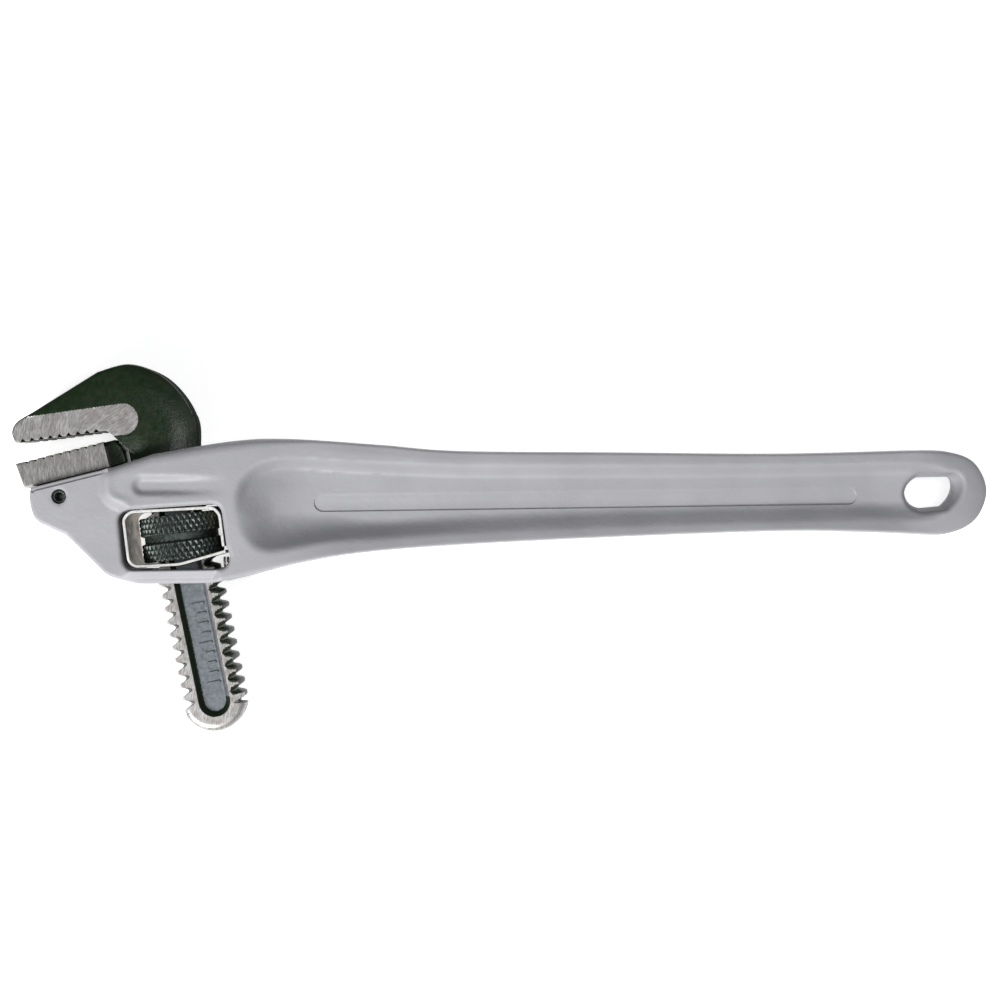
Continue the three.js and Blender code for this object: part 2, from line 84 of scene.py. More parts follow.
SHANK_HALF = 6.0
PITCH = 4.65
CREST_RADIUS = 11.7
ROOT_RADIUS = 8.9
CREST_PHASE = 0.85  # height of the thread's crest on the +X side
SHANK_END = 59.3  # from the nut's centre down to the centre of the rounded end
CHANNEL = ((0.3, -SHANK_END - 0.7), (0.3, 10), 5.7)  # the shank's channel: its two ends and its radius
CHANNEL_DEPTH = 2.4
CHANNEL_BANK = 1.9  # width of the channel's sloping side
THREAD_TOP = 21.0
NECK = {"left": -11.5, "right": 12.6, "bottom": 21.0}
END_ROUND = 2.6  # rounding of the shank's end towards its faces

NUT_RADIUS = 14.5
NUT_HALF = 8.0
NUT_BORE = 12.3


# ---- Plane curves ----
class Outline:
    """A closed outline drawn piece by piece, kept as points no further apart than its step."""

    def __init__(self, start, step=0.9):
        self.points = [np.array(start, float)]
        self.step = step

    def line(self, *corners):
        for corner in corners:
            start, end = self.points[-1], np.array(corner, float)
            count = max(1, math.ceil(np.linalg.norm(end - start) / self.step))
            self.points += [start + (end - start) * i / count for i in range(1, count + 1)]
        return self

    def spline(self, *through):
        """A smooth curve from the last point through the given ones."""
        knots = [self.points[-1], *[np.array(p, float) for p in through]]
        for i in range(len(knots) - 1):
            a, b = knots[max(i - 1, 0)], knots[i]
            c, d = knots[i + 1], knots[min(i + 2, len(knots) - 1)]
            count = max(2, math.ceil(np.linalg.norm(c - b) / self.step))
            for k in range(1, count + 1):
                t = k / count
                into, out = (c - a) / 2, (d - b) / 2
                self.points.append(
                    (2 * b - 2 * c + into + out) * t**3
                    + (3 * c - 3 * b - 2 * into - out) * t**2
                    + into * t
                    + b
                )
        return self

    def bend(self, control, end):
        """A quadratic curve that leaves towards control and arrives at end."""
        start, control, end = self.points[-1], np.array(control, float), np.array(end, float)
        length = np.linalg.norm(control - start) + np.linalg.norm(end - control)
        count = max(3, math.ceil(length / self.step))
        for k in range(1, count + 1):
            t = k / count
            self.points.append((1 - t) ** 2 * start + 2 * t * (1 - t) * control + t * t * end)
        return self

    def arc(self, centre, radius, start, end):
        """A round stretch; angles in radians, in either direction."""
        count = max(4, math.ceil(abs(end - start) * radius / self.step))
        for angle in np.linspace(start, end, count + 1):
            point = np.array(centre) + radius * np.array((math.cos(angle), math.sin(angle)))
            if np.linalg.norm(point - self.points[-1]) > 1e-6:
                self.points.append(point)
        return self

    def loop(self):
        """The closed outline, counter-clockwise, with no point twice."""
        points = np.array(self.points)
        if np.linalg.norm(points[0] - points[-1]) > self.step:
            points = np.array(Outline.line(self, self.points[0]).points)
        keep = np.linalg.norm(points - np.roll(points, 1, axis=0), axis=1) > 1e-4
        points = points[keep]
        return points if area(points) > 0 else points[::-1]


def area(loop):
    x, y = loop.T
    return 0.5 * float(np.sum(x * np.roll(y, -1) - np.roll(x, -1) * y))


def turned(points, tilt, corner=(0, 0)):
    """Points of a piece's own frame, given the frame's tilt and corner, in the wrench frame."""
    c, s = math.cos(tilt), math.sin(tilt)
    points = np.asarray(points, float)
    return points @ np.array(((c, s), (-s, c))) + np.array(corner)


def heel_point(x, y):
    return turned((x, y), HEEL_TILT, HEEL_CORNER)


def jaw_point(x, y):
    return turned((x, y), JAW_TILT, JAW_TIP)


def shank_point(x, y):
    return turned((x, y), SHANK_TILT)


def normals_in(loop):
    """Unit vectors into a counter-clockwise loop at each of its points."""
    ahead = np.roll(loop, -1, axis=0) - loop
    ahead /= np.linalg.norm(ahead, axis=1)[:, None]
    along = ahead + np.roll(ahead, 1, axis=0)
    along /= np.maximum(np.linalg.norm(along, axis=1), 1e-9)[:, None]
    return np.column_stack((-along[:, 1], along[:, 0]))


def distance(points, line, closed=True):
    """Distance from each point to a line of points, or to the loop that closes it."""
    end = np.roll(line, -1, axis=0) if closed else line[1:]
    start = line if closed else line[:-1]
    x0, y0 = start.T.astype(np.float32)
    ex, ey = (end - start).T.astype(np.float32)
    length2 = np.maximum(ex * ex + ey * ey, 1e-12)
    out = np.empty(len(points))
    for i in range(0, len(points), 2000):
        rx = points[i : i + 2000, :1].astype(np.float32) - x0
        ry = points[i : i + 2000, 1:].astype(np.float32) - y0
        t = np.clip((rx * ex + ry * ey) / length2, 0, 1)
        rx -= t * ex
        ry -= t * ey
        out[i : i + 2000] = np.sqrt((rx * rx + ry * ry).min(1))
    return out


def inside(points, loop):
    x, y = points.T
    odd = np.zeros(len(points), bool)
    for (x0, y0), (x1, y1) in zip(loop, np.roll(loop, -1, axis=0)):
        if y0 != y1:
            crosses = (y0 > y) != (y1 > y)
            odd ^= crosses & (x < (x1 - x0) * (y - y0) / (y1 - y0) + x0)
    return odd


def depth_in(points, loop):
    """Distance to a loop, positive inside it and negative outside."""
    return np.where(inside(points, loop), 1, -1) * distance(points, loop)


def stretches(line, keep):
    """The unbroken stretches of a line where keep is true."""
    ends = np.flatnonzero(np.diff(np.concatenate(([0], keep.astype(int), [0]))))
    return [line[a:b] for a, b in zip(ends[::2], ends[1::2]) if b - a > 1]


def stadium(start, end, radius, step=0.6):
    (x0, y0), (x1, y1) = start, end
    along = math.atan2(y1 - y0, x1 - x0)
    side = along - math.pi / 2
    shape = Outline((x0 + radius * math.cos(side), y0 + radius * math.sin(side)), step)
    shape.line((x1 + radius * math.cos(side), y1 + radius * math.sin(side)))
    shape.arc(end, radius, side, side + math.pi)
    shape.line((x0 - radius * math.cos(side), y0 - radius * math.sin(side)))
    return shape.arc(start, radius, side + math.pi, side + 2 * math.pi).loop()


def closed(loop):
    return np.concatenate((loop, loop[:1]))


def stadium_depth(points, start, end, radius):
    """Distance into a stadium from its edge, negative outside it."""
    start, end = np.array(start, float), np.array(end, float)
    t = np.clip((points - start) @ (end - start) / ((end - start) @ (end - start)), 0, 1)
    return radius - np.linalg.norm(points - start - t[:, None] * (end - start), axis=1)


def ease(t):
    t = np.clip(t, 0, 1)
    return t * t * (3 - 2 * t)


def bank(s, top, foot):
    """A slope from 0 at s = 0 to 1 at s = 1, straight but for a soft share at its top and its foot."""
    s = np.clip(s, 0, 1)
    middle = 1 - top - foot
    upper, between, lower = np.minimum(s, top), np.clip(s - top, 0, middle), np.maximum(s - top - middle, 0)
    rise = upper**2 / (2 * top) + between + lower - lower**2 / (2 * foot)
    return rise / (top / 2 + middle + foot / 2)


def rounding(depth, radius):
    """How far a rounded edge lies below its face, at a depth in from the edge."""
    short = np.clip(radius - depth, 0, radius)
    return radius - np.sqrt(np.maximum(radius**2 - short**2, 0))


# ---- Meshes ----
def place(name, points, faces):
    """A new object from points in the wrench frame, in millimetres."""
    mesh = bpy.data.meshes.new(name)
    moved = np.asarray(points, float) * MM + np.array(NUT_CENTRE)
    mesh.from_pydata(moved.tolist(), [], faces)
    mesh.update()
    made = bpy.data.objects.new(name, mesh)
    bpy.context.scene.collection.objects.link(made)
    return made


def hex_grid(low, high, spacing):
    rows = np.arange(low[1], high[1], spacing * math.sqrt(3) / 2)
    columns = np.arange(low[0], high[0], spacing)
    return np.concatenate(
        [np.column_stack((columns + i % 2 * spacing / 2, np.full(len(columns), y))) for i, y in enumerate(rows)]
    )


def relief(name, loops, height, spacing=1.0, rings=(0.1, 0.3, 0.7), creases=(), sides=()):
    """A plate with the outline loops[0] and the holes loops[1:], whose two faces are +height(points)
    and -height(points). Rings of points follow each edge, and creases are lines of edges inside it.
    sides lists, for each loop, the rows of its wall: (share of the half thickness, way out)."""
    every = [loops[0], *(hole[::-1] for hole in loops[1:])]
    fixed, edges = [], []
    for k, line in enumerate([*every, *creases]):
        first, count = len(fixed), len(line)
        fixed += list(line)
        edges += [(first + i, first + i + 1) for i in range(count - 1)]
        if k < len(every):
            edges.append((first + count - 1, first))
    loose = [loop + normals_in(loop) * ring for loop in every for ring in rings]
    clear = [np.full(len(loop), ring) for loop in every for ring in rings]
    grid = hex_grid(loops[0].min(0), loops[0].max(0), spacing)
    loose = np.concatenate([*loose, grid])
    clear = np.concatenate([*clear, np.full(len(grid), rings[-1] + 0.45 * spacing)])
    keep = inside(loose, loops[0]) & (distance(loose, loops[0]) > clear * 0.97)
    for hole in loops[1:]:
        keep &= ~inside(loose, hole) & (distance(loose, hole) > clear * 0.97)
    for crease in creases:
        keep &= distance(loose, crease, False) > 0.3 * spacing
    points = np.concatenate([np.array(fixed), loose[keep]])
    made = delaunay_2d_cdt([Vector(p) for p in points], edges, [], 1, 1e-5)
    flat = np.array([tuple(p) for p in made[0]])
    corners = np.array(made[2])
    for hole in loops[1:]:
        corners = corners[~inside(flat[corners].mean(1), hole)]
    new_index = {old: new for new, olds in enumerate(made[3]) for old in olds}
    top, count = height(flat), len(flat)
    shape = [np.column_stack((flat, top)), np.column_stack((flat, -top))]
    faces = [tuple(face) for face in corners]
    faces += [tuple(face[::-1] + count) for face in corners]
    total, first = 2 * count, 0
    for k, loop in enumerate(every):
        ring = [new_index[first + i] for i in range(len(loop))]
        first += len(loop)
        out = -normals_in(loop)
        previous = ring
        for share, way in sides[k] if sides else ():
            shape.append(np.column_stack((loop + out * way, top[ring] * share)))
            row = list(range(total, total + len(ring)))
            total += len(ring)
            faces += wall(previous, row)
            previous = row
        faces += wall(previous, [i + count for i in ring])
    return place(name, np.concatenate(shape), [tuple(int(i) for i in face) for face in faces])


def wall(upper, lower):
    """Faces between two rings of the same length, where the upper runs counter-clockwise."""
    n = len(upper)
    return [(upper[i], lower[i], lower[(i + 1) % n], upper[(i + 1) % n]) for i in range(n)]


def prism(name, loop, low, high):
    """A plain straight prism, used as a cutting tool."""
    n = len(loop)
    points = np.concatenate(
        (np.column_stack((loop, np.full(n, high))), np.column_stack((loop, np.full(n, low))))
    )
    faces = [tuple(range(n)), tuple(range(2 * n - 1, n - 1, -1))]
    faces += wall(list(range(n)), list(range(n, 2 * n)))
    return place(name, points, faces)


def tube(name, centres, sides, ups, section):
    """A closed tube: the section's (x, y) points, laid out on sides and ups at each centre."""
    n = len(section)
    points = [
        centre + side * x + up * y
        for centre, side, up in zip(centres, sides, ups)
        for x, y in section
    ]
    faces = [tuple(range(n - 1, -1, -1))]
    for k in range(len(centres) - 1):
        for i in range(n):
            a, b = k * n + i, k * n + (i + 1) % n
            faces.append((a, b, b + n, a + n))
    last = (len(centres) - 1) * n
    faces.append(tuple(range(last, last + n)))
    return place(name, points, faces)


def turned_surface(name, rows, radius, around):
    """A closed ring about +Y from rows of (radius, height) profile points, closed on themselves.
    radius(angle, row) gives the radius of each row's point at an angle."""
    angles = np.arange(around) * 2 * math.pi / around
    shape = []
    for k, (_, y) in enumerate(rows):
        r = radius(angles, k)
        shape.append(np.column_stack((r * np.cos(angles), np.full(around, y), -r * np.sin(angles))))
    faces = []
    for k in range(len(rows)):
        a, b = k * around, (k + 1) % len(rows) * around
        for i in range(around):
            j = (i + 1) % around
            faces.append((a + i, a + j, b + j, b + i))
    return place(name, np.concatenate(shape), faces)


def combine(base, operation, tools):
    """Cuts tools from base or joins them to it, and removes the tools."""
    for tool in tools:
        step = base.modifiers.new("cut", "BOOLEAN")
        step.operation = operation
        step.solver = "MANIFOLD"
        step.object = tool
        bpy.context.view_layer.update()
        shape = base.evaluated_get(bpy.context.evaluated_depsgraph_get())
        mesh = bpy.data.meshes.new_from_object(shape)
        base.modifiers.clear()
        base.data = mesh
        bpy.data.objects.remove(tool)
    return base


def turn_object(made, tilt, corner=(0, 0)):
    """Turns an object's mesh about the nut's centre, then moves it by a corner in millimetres."""
    to_centre = Matrix.Translation(-NUT_CENTRE)
    back = Matrix.Translation(NUT_CENTRE + Vector((*corner, 0)) * MM)
    made.data.transform(back @ Matrix.Rotation(tilt, 4, "Z") @ to_centre)
    return made


def finish_piece(made, materials, body, nodes, pick=None, crease=35):
    """Gives a piece its materials, smooth shading with sharp creases and its body, and hides the CAD nodes it
    stands for.
    """
    mesh = made.data
    mesh.materials.clear()
    for material in materials:
        mesh.materials.append(material)
    mesh.shade_smooth()
    count = len(mesh.polygons)
    if pick:
        centre = np.empty(count * 3)
        normal = np.empty(count * 3)
        mesh.polygons.foreach_get("center", centre)
        mesh.polygons.foreach_get("normal", normal)
        local = (centre.reshape(-1, 3) - np.array(NUT_CENTRE)) / MM
        index = pick(local, normal.reshape(-1, 3)).astype(np.int32)
        mesh.polygons.foreach_set("material_index", index)
    sharpen(mesh, crease)
    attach(made, body)
    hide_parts(*nodes)
    return made


def sharpen(mesh, degrees):
    """Marks as sharp the edges whose two faces meet at more than that angle."""
    normal = np.empty(len(mesh.polygons) * 3)
    mesh.polygons.foreach_get("normal", normal)
    normal = normal.reshape(-1, 3)
    totals = np.empty(len(mesh.polygons), np.int32)
    mesh.polygons.foreach_get("loop_total", totals)
    edge_of = np.empty(len(mesh.loops), np.int32)
    mesh.loops.foreach_get("edge_index", edge_of)
    face_of = np.repeat(np.arange(len(totals)), totals)
    order = np.argsort(edge_of, kind="stable")
    edge_of, face_of = edge_of[order], face_of[order]
    pair = np.flatnonzero(edge_of[1:] == edge_of[:-1])
    bend = (normal[face_of[pair]] * normal[face_of[pair + 1]]).sum(1)
    sharp = np.zeros(len(mesh.edges), bool)
    sharp[edge_of[pair]] = bend < math.cos(math.radians(degrees))
    layer = mesh.attributes.get("sharp_edge") or mesh.attributes.new("sharp_edge", "BOOLEAN", "EDGE")
    layer.data.foreach_set("value", sharp)


# ---- Materials ----
class Finish:
    """A node material, with short calls for the nodes that the finishes share."""

    def __init__(self, name, **surface):
        self.material = bpy.data.materials.new(name)
        self.material.use_nodes = True
        self.tree = self.material.node_tree
        self.surface = self.tree.nodes["Principled BSDF"]
        self.where = self.tree.nodes.new("ShaderNodeTexCoord").outputs["Object"]
        for key, value in surface.items():
            self.surface.inputs[key.replace("_", " ").title().replace("Ior", "IOR")].default_value = value

    def join(self, source, target):
        self.tree.links.new(source, target)

    def stretched(self, scale, turn=0.0):
        """Coordinates along a direction turned from X, with a scale of their own on each axis."""
        node = self.tree.nodes.new("ShaderNodeMapping")
        node.vector_type = "TEXTURE"
        node.inputs["Scale"].default_value = [1 / s for s in scale]
        node.inputs["Rotation"].default_value = (0, 0, turn)
        self.join(self.where, node.inputs["Vector"])
        return node.outputs["Vector"]

    def noise(self, scale, detail=3.0, rough=0.5, vector=None):
        node = self.tree.nodes.new("ShaderNodeTexNoise")
        node.inputs["Scale"].default_value = scale
        node.inputs["Detail"].default_value = detail
        node.inputs["Roughness"].default_value = rough
        self.join(vector or self.where, node.inputs["Vector"])
        return node.outputs["Fac"]

    def cells(self, scale, vector=None):
        node = self.tree.nodes.new("ShaderNodeTexVoronoi")
        node.inputs["Scale"].default_value = scale
        self.join(vector or self.where, node.inputs["Vector"])
        return node.outputs["Distance"]

    def spread(self, value, low, high, to_low=0.0, to_high=1.0):
        node = self.tree.nodes.new("ShaderNodeMapRange")
        for key, number in zip(("From Min", "From Max", "To Min", "To Max"), (low, high, to_low, to_high)):
            node.inputs[key].default_value = number
        self.join(value, node.inputs["Value"])
        return node.outputs["Result"]

    def times(self, a, b, operation="MULTIPLY"):
        node = self.tree.nodes.new("ShaderNodeMath")
        node.operation = operation
        self.join(a, node.inputs[0])
        if isinstance(b, (int, float)):
            node.inputs[1].default_value = b
        else:
            self.join(b, node.inputs[1])
        return node.outputs["Value"]

    def mix(self, share, first, second):
        node = self.tree.nodes.new("ShaderNodeMix")
        for key, source in zip((0, 2, 3), (share, first, second)):
            self.join(source, node.inputs[key])
        return node.outputs[0]

    def axis(self, name):
        node = self.tree.nodes.new("ShaderNodeSeparateXYZ")
        self.join(self.where, node.inputs[0])
        return node.outputs[name]

    def blend(self, share, first, second):
        node = self.tree.nodes.new("ShaderNodeMix")
        node.data_type = "RGBA"
        self.join(share, node.inputs["Factor"])
        for socket, colour in ((node.inputs[6], first), (node.inputs[7], second)):
            if isinstance(colour, tuple):
                socket.default_value = (*colour, 1)
            else:
                self.join(colour, socket)
        return node.outputs[2]

    def bump(self, height, strength, reach, below=None):
        node = self.tree.nodes.new("ShaderNodeBump")
        node.inputs["Strength"].default_value = strength
        node.inputs["Distance"].default_value = reach
        self.join(height, node.inputs["Height"])
        if below:
            self.join(below, node.inputs["Normal"])
        return node.outputs["Normal"]

    def set(self, **sources):
        for key, source in sources.items():
            self.join(source, self.surface.inputs[key.replace("_", " ").title()])
        return self.material


def casting_paint():
    paint = Finish("satin_silver_paint", metallic=0.0, specular_ior_level=0.4)
    patches = paint.noise(55, 2)
    colour = paint.blend(paint.spread(patches, 0.3, 0.7), (0.27, 0.27, 0.287), (0.30, 0.30, 0.317))
    specks = paint.spread(paint.cells(260), 0.035, 0.06, 1, 0)
    here = paint.spread(paint.noise(28, 2), 0.6, 0.66)
    colour = paint.blend(paint.times(specks, here), colour, (0.16, 0.15, 0.14))
    peel = paint.noise(1100, 2)
    sand = paint.noise(320, 4, 0.6)
    surface = paint.bump(peel, 0.16, 0.0003)
    surface = paint.bump(sand, 0.22, 0.0006, surface)
    return paint.set(
        base_color=colour, roughness=paint.spread(sand, 0.3, 0.7, 0.45, 0.58), normal=surface
    )


def machined_aluminium():
    metal = Finish("machined_aluminium", metallic=0.9)
    lines = metal.noise(1, 3, 0.6, metal.stretched((260, 260, 5200)))
    colour = metal.blend(metal.spread(lines, 0.35, 0.65), (0.42, 0.42, 0.43), (0.58, 0.58, 0.59))
    return metal.set(
        base_color=colour,
        roughness=metal.spread(lines, 0.3, 0.7, 0.32, 0.48),
        normal=metal.bump(lines, 0.15, 0.0002),
    )


def ground_steel(name, along, stains=0.5, bright=1.0, beyond=None):
    """Bare steel with grinding scratches at an angle to X. beyond gives (x, angle): from that X on,
    in millimetres from the nut's centre, the scratches run at the second angle."""
    metal = Finish(name, metallic=0.7)

    def scratches(across, detail):
        made = metal.noise(1, detail, 0.65, metal.stretched((across / 10, across, across / 10), along))
        if not beyond:
            return made
        edge = NUT_CENTRE.x + beyond[0] * MM
        share = metal.spread(metal.axis("X"), edge - 0.003, edge + 0.003)
        other = metal.noise(1, detail, 0.65, metal.stretched((across / 10, across, across / 10), beyond[1]))
        return metal.mix(share, made, other)

    def tone(red, green, blue):
        return (bright * red, bright * green, bright * blue)

    fine, broad = scratches(4800, 3), scratches(1500, 2)
    cloud = metal.spread(metal.noise(230, 4, 0.65), 0.44, 0.62)
    colour = metal.blend(metal.spread(fine, 0.36, 0.64), tone(0.20, 0.19, 0.185), tone(0.46, 0.455, 0.45))
    colour = metal.blend(metal.times(metal.spread(broad, 0.5, 0.68), 0.5), colour, tone(0.58, 0.57, 0.56))
    colour = metal.blend(metal.times(cloud, stains), colour, tone(0.22, 0.19, 0.18))
    surface = metal.bump(broad, 0.25, 0.0002, metal.bump(fine, 0.35, 0.00012))
    return metal.set(
        base_color=colour, roughness=metal.spread(fine, 0.3, 0.7, 0.35, 0.55), normal=surface
    )


def black_oxide():
    skin = Finish("black_oxide", metallic=0.0, specular_ior_level=0.3)
    mottle = skin.noise(420, 5, 0.65)
    rust = skin.spread(skin.noise(160, 4, 0.6), 0.52, 0.72)
    colour = skin.blend(skin.spread(mottle, 0.35, 0.7), (0.002, 0.010, 0.001), (0.007, 0.017, 0.006))
    colour = skin.blend(skin.times(rust, 0.45), colour, (0.022, 0.018, 0.009))
    chips = skin.spread(skin.cells(330), 0.04, 0.07, 1, 0)
    here = skin.spread(skin.noise(90, 2), 0.62, 0.66)
    colour = skin.blend(skin.times(chips, here), colour, (0.28, 0.28, 0.27))
    surface = skin.bump(skin.noise(900, 3), 0.22, 0.0003)
    surface = skin.bump(mottle, 0.2, 0.0006, surface)
    return skin.set(
        base_color=colour, roughness=skin.spread(mottle, 0.3, 0.7, 0.29, 0.38), normal=surface
    )


def matte_scale():
    """The duller black of the forging's side walls and of the tooth notches."""
    skin = Finish("matte_scale", metallic=0.0, specular_ior_level=0.03)
    grain = skin.noise(600, 4, 0.6)
    colour = skin.blend(skin.spread(grain, 0.3, 0.7), (0.004, 0.009, 0.004), (0.014, 0.019, 0.012))
    return skin.set(
        base_color=colour,
        roughness=skin.spread(grain, 0.3, 0.7, 0.72, 0.9),
        normal=skin.bump(grain, 0.3, 0.0004),
    )


def channel_steel():
    skin = Finish("forged_channel", metallic=0.5)
    grain = skin.noise(700, 4, 0.65)
    colour = skin.blend(skin.spread(grain, 0.3, 0.7), (0.085, 0.095, 0.105), (0.15, 0.165, 0.18))
    return skin.set(
        base_color=colour,
        roughness=skin.spread(grain, 0.3, 0.7, 0.4, 0.6),
        normal=skin.bump(grain, 0.35, 0.0004),
    )


def nut_steel():
    metal = Finish("oiled_nut_steel", metallic=0.7)
    grain = metal.noise(900, 3)
    colour = metal.blend(metal.spread(grain, 0.3, 0.7), (0.02, 0.028, 0.024), (0.07, 0.08, 0.075))
    return metal.set(
        base_color=colour,
        roughness=metal.spread(grain, 0.3, 0.7, 0.38, 0.52),
        normal=metal.bump(grain, 0.12, 0.0002),
    )


def spring_steel():
    metal = Finish("bright_spring_steel", metallic=0.45)
    lines = metal.noise(1, 2, 0.6, metal.stretched((900, 900, 120)))
    colour = metal.blend(metal.spread(lines, 0.35, 0.65), (0.78, 0.77, 0.74), (0.95, 0.95, 0.93))
    return metal.set(
        base_color=colour,
        roughness=metal.spread(lines, 0.3, 0.7, 0.12, 0.22),
        normal=metal.bump(lines, 0.08, 0.0001),
    )


def painted_reflection_spring():
    """The broad faces of the strip, painted a mottled dark brown that stands in for the shaded surroundings they
    reflect (painted reflection and shade).
    """
    metal = Finish("painted_reflection_spring_steel", metallic=0.9)
    # painted reflection: a brown to near-black mottle in place of the shaded floor and nut that these faces mirror
    reflection_mottle = metal.spread(metal.noise(170, 3), 0.4, 0.6)
    colour = metal.blend(reflection_mottle, (0.05, 0.05, 0.03), (0.30, 0.235, 0.16))
    return metal.set(base_color=colour, roughness=metal.spread(metal.noise(600), 0.3, 0.7, 0.3, 0.45))


# ---- Handle casting ----
def handle_outline():
    seat = -HEEL_HEIGHT - 0.3
    shape = Outline(heel_point(3.5, seat))
    shape.spline((-52.4, 13.8), (-50.4, 6.9), (-45, 3.5), (-39.5, 1)).line((-28.5, -10.1))
    shape.spline((-24, -13.9), (-14, -16.8)).line((12, -16.8))
    shape.spline(
        (24, -14.3), (43.4, -9.8), (65, -6.5), (100, -4.1), (157, -1.9), (214, -0.5), (243, -1.1), (262, -2)
    )
    shape.spline((274.8, -2.2), (284.6, 2.9), (288.6, 13.3), (284.4, 23.2), (275.4, 27.3), (262, 27.8))
    shape.spline((214, 27.2), (157, 28.3), (100, 29.5), (72, 32), (40, 34.5), (20, 34.1), (-8, 29.9))
    return shape.line(heel_point(HEEL_LENGTH + 2, seat)).line(shape.points[0]).loop()


def window_outline():
    """The window's edge follows the bent strip that lines it."""
    shape = Outline((-16.4, 9.9), 0.6).line((12.4, 11.5)).bend((15.9, 11.7), (16.5, 8.2))
    shape.line((17.9, -3.0)).spline((19.2, -7.4), (17.6, -10.6), (13.8, -11.6)).line((-14.6, -11.6))
    return shape.bend((-18.6, -11.6), (-19.2, -7.8)).line((-20.4, 5.6)).bend((-20.6, 9.6), (-16.4, 9.9)).loop()


def hang_hole():
    shape = Outline((264.8, 18.2), 0.6)
    shape.bend((261, 16.4), (260.4, 12.8)).bend((260.8, 8.2), (265.6, 7.2)).line((273.2, 7.8))
    shape.bend((277.2, 10.8), (278, 14.6)).bend((278.3, 17.8), (275.6, 18.3))
    return shape.line((264.8, 18.2)).loop()


def recess_outline():
    head = ((60, 26.0), (40, 27.4), (29, 25.0), (22, 18.5), (20.4, 9), (23.2, -0.2), (32.9, -6.0), (57, -2.8))
    lower = ((100, -0.2), (157, 1.8), (214, 2.9), (243, 3.0), (262, 2.6), (272.5, 4.6), (278.9, 13.0))
    upper = ((273, 21.0), (262, 22.8), (243, 23.0), (214, 22.7), (157, 23.1), (100, 23.8))
    return Outline(upper[-1]).spline(*head, *lower, *upper).loop()


def boss_edge():
    """Everything left of the boss and below the window, where the casting is a thinner plate."""
    shape = Outline((-75, 45), 2.0)
    shape.line((-75, -35), (15, -35), (14, -13), (-17.5, -13), (-18.5, 10.4))
    return shape.spline((-23.6, 13), (-25.6, 18), (-25, 30), (-24, 45)).line((-75, 45)).loop()


def crest_half(x):
    """Half thickness of the casting along the handle, before anything is sunk into it."""
    at = (-80, 24, 40, 70, 110, 235, 262, 280, 290)
    half = (BOSS_HALF, BOSS_HALF, 14.2, 12, 10.5, 10.2, 10.8, 10.6, 10)
    return np.mean([np.interp(x + shift, at, half) for shift in (-8, -4, 0, 4, 8)], axis=0)


def handle_height(points):
    x, y = points.T
    edge = depth_in(points, CASTING_EDGE)
    plate = ease((depth_in(points, boss_edge()) + 1.9) / 3.8)
    grip = ease((x - 30) / 34)
    upper = ease((y - 13.5) / (5 + 12 * (1 - ease((x - 24) / 40))) + 0.5)
    face = crest_half(x) - (BOSS_HALF - PLATE_HALF) * plate
    # the boss ends in a soft bead, and both flanges of the grip lean a little
    bead = np.exp(-(((depth_in(points, boss_edge()) + 2.4) / 1.5) ** 2)) * ease((y - 8) / 6)
    face = face + 0.5 * bead * ease((30 - y) / 4)
    lean = 0.26 * np.minimum(edge, 4) * (1 - upper) + 0.09 * np.abs(edge - 3.4) * upper * (edge < 12)
    face = face - lean * grip * ease((268 - x) / 14)
    face = face - 0.22 * rounding(edge, 9.5) * ease((x - 262) / 14)
    face = face - (face - web_floor(x, y)) * web_share(points, upper)
    panel = ease((stadium_depth(points, *PANEL) + 0.13) / 0.26)
    face = face - PANEL_DEPTH * panel * (0.15 + 0.85 * ease((14.6 - y) / 4.5))
    groove = ease((stadium_depth(points, (-11.5, 18.4), (36, 17.8), 3.9) + 0.2) / 2.8)
    face = face - GROOVE_DEPTH * groove * (1 - ease((x + 4) / 25))
    seat = turned(points - np.array(HEEL_CORNER), -HEEL_TILT) + np.array((0, HEEL_HEIGHT + 0.3))
    ledge = ease((seat[:, 1] + 1.95) / 0.35) * (seat[:, 0] < HEEL_LENGTH + 1)
    face = face - 0.75 * ledge
    # rounded edges: outside, around the window, the hang hole and the pin
    head = 1 - ease((x - 18) / 40)
    soft = 0.6 + 0.7 * head + upper * (0.1 + 2.3 * head) * (1 - plate)
    face = face - rounding(edge, np.where(ledge > 0.5, 0.35, soft))
    face = face - rounding(-depth_in(points, WINDOW_EDGE), 1.5)
    face = face - rounding(-depth_in(points, HOLE_EDGE), 1.6)
    pin = np.linalg.norm(points - heel_point(*PIN_AT), axis=1)
    return face - 0.35 * (1 - ease((pin - PIN_RADIUS - 0.3) / 0.45))


def web_floor(x, y):
    """Half thickness at the bottom of the recess: a scoop at the head, a shallow dish across the web
    and a rise at the hang hole."""
    scoop = (1 - np.clip((x - 19.5) / 30, 0, 1)) ** 2.1
    dish = 0.003 * np.minimum(np.abs(y - 14), 9) ** 2 * ease((x - 40) / 30)
    return WEB_HALF + 9.4 * scoop + dish + 2.6 * ease((x - 246) / 34)


def web_share(points, upper):
    """How far down to the web's floor each point lies: 0 on the flanges and 1 on the floor."""
    inward = np.maximum(depth_in(points, recess_outline()) + 0.7, 0)
    scoop = 1 - ease((points[:, 0] - 25) / 50)
    lower = bank(inward / (7.8 + 9 * scoop), 0.26 - 0.1 * scoop, 0.42 + 0.4 * scoop)
    return upper * bank(inward / 4.6, 0.3, 0.3) + (1 - upper) * lower


def shank_room(name):
    side = CREST_RADIUS + 0.5
    box = Outline((-side, -30), 100).line((side, -30), (side, 45), (-side, 45), (-side, -30)).loop()
    return turn_object(prism(name, box, -SHANK_HALF - 0.4, SHANK_HALF + 0.4), SHANK_TILT)


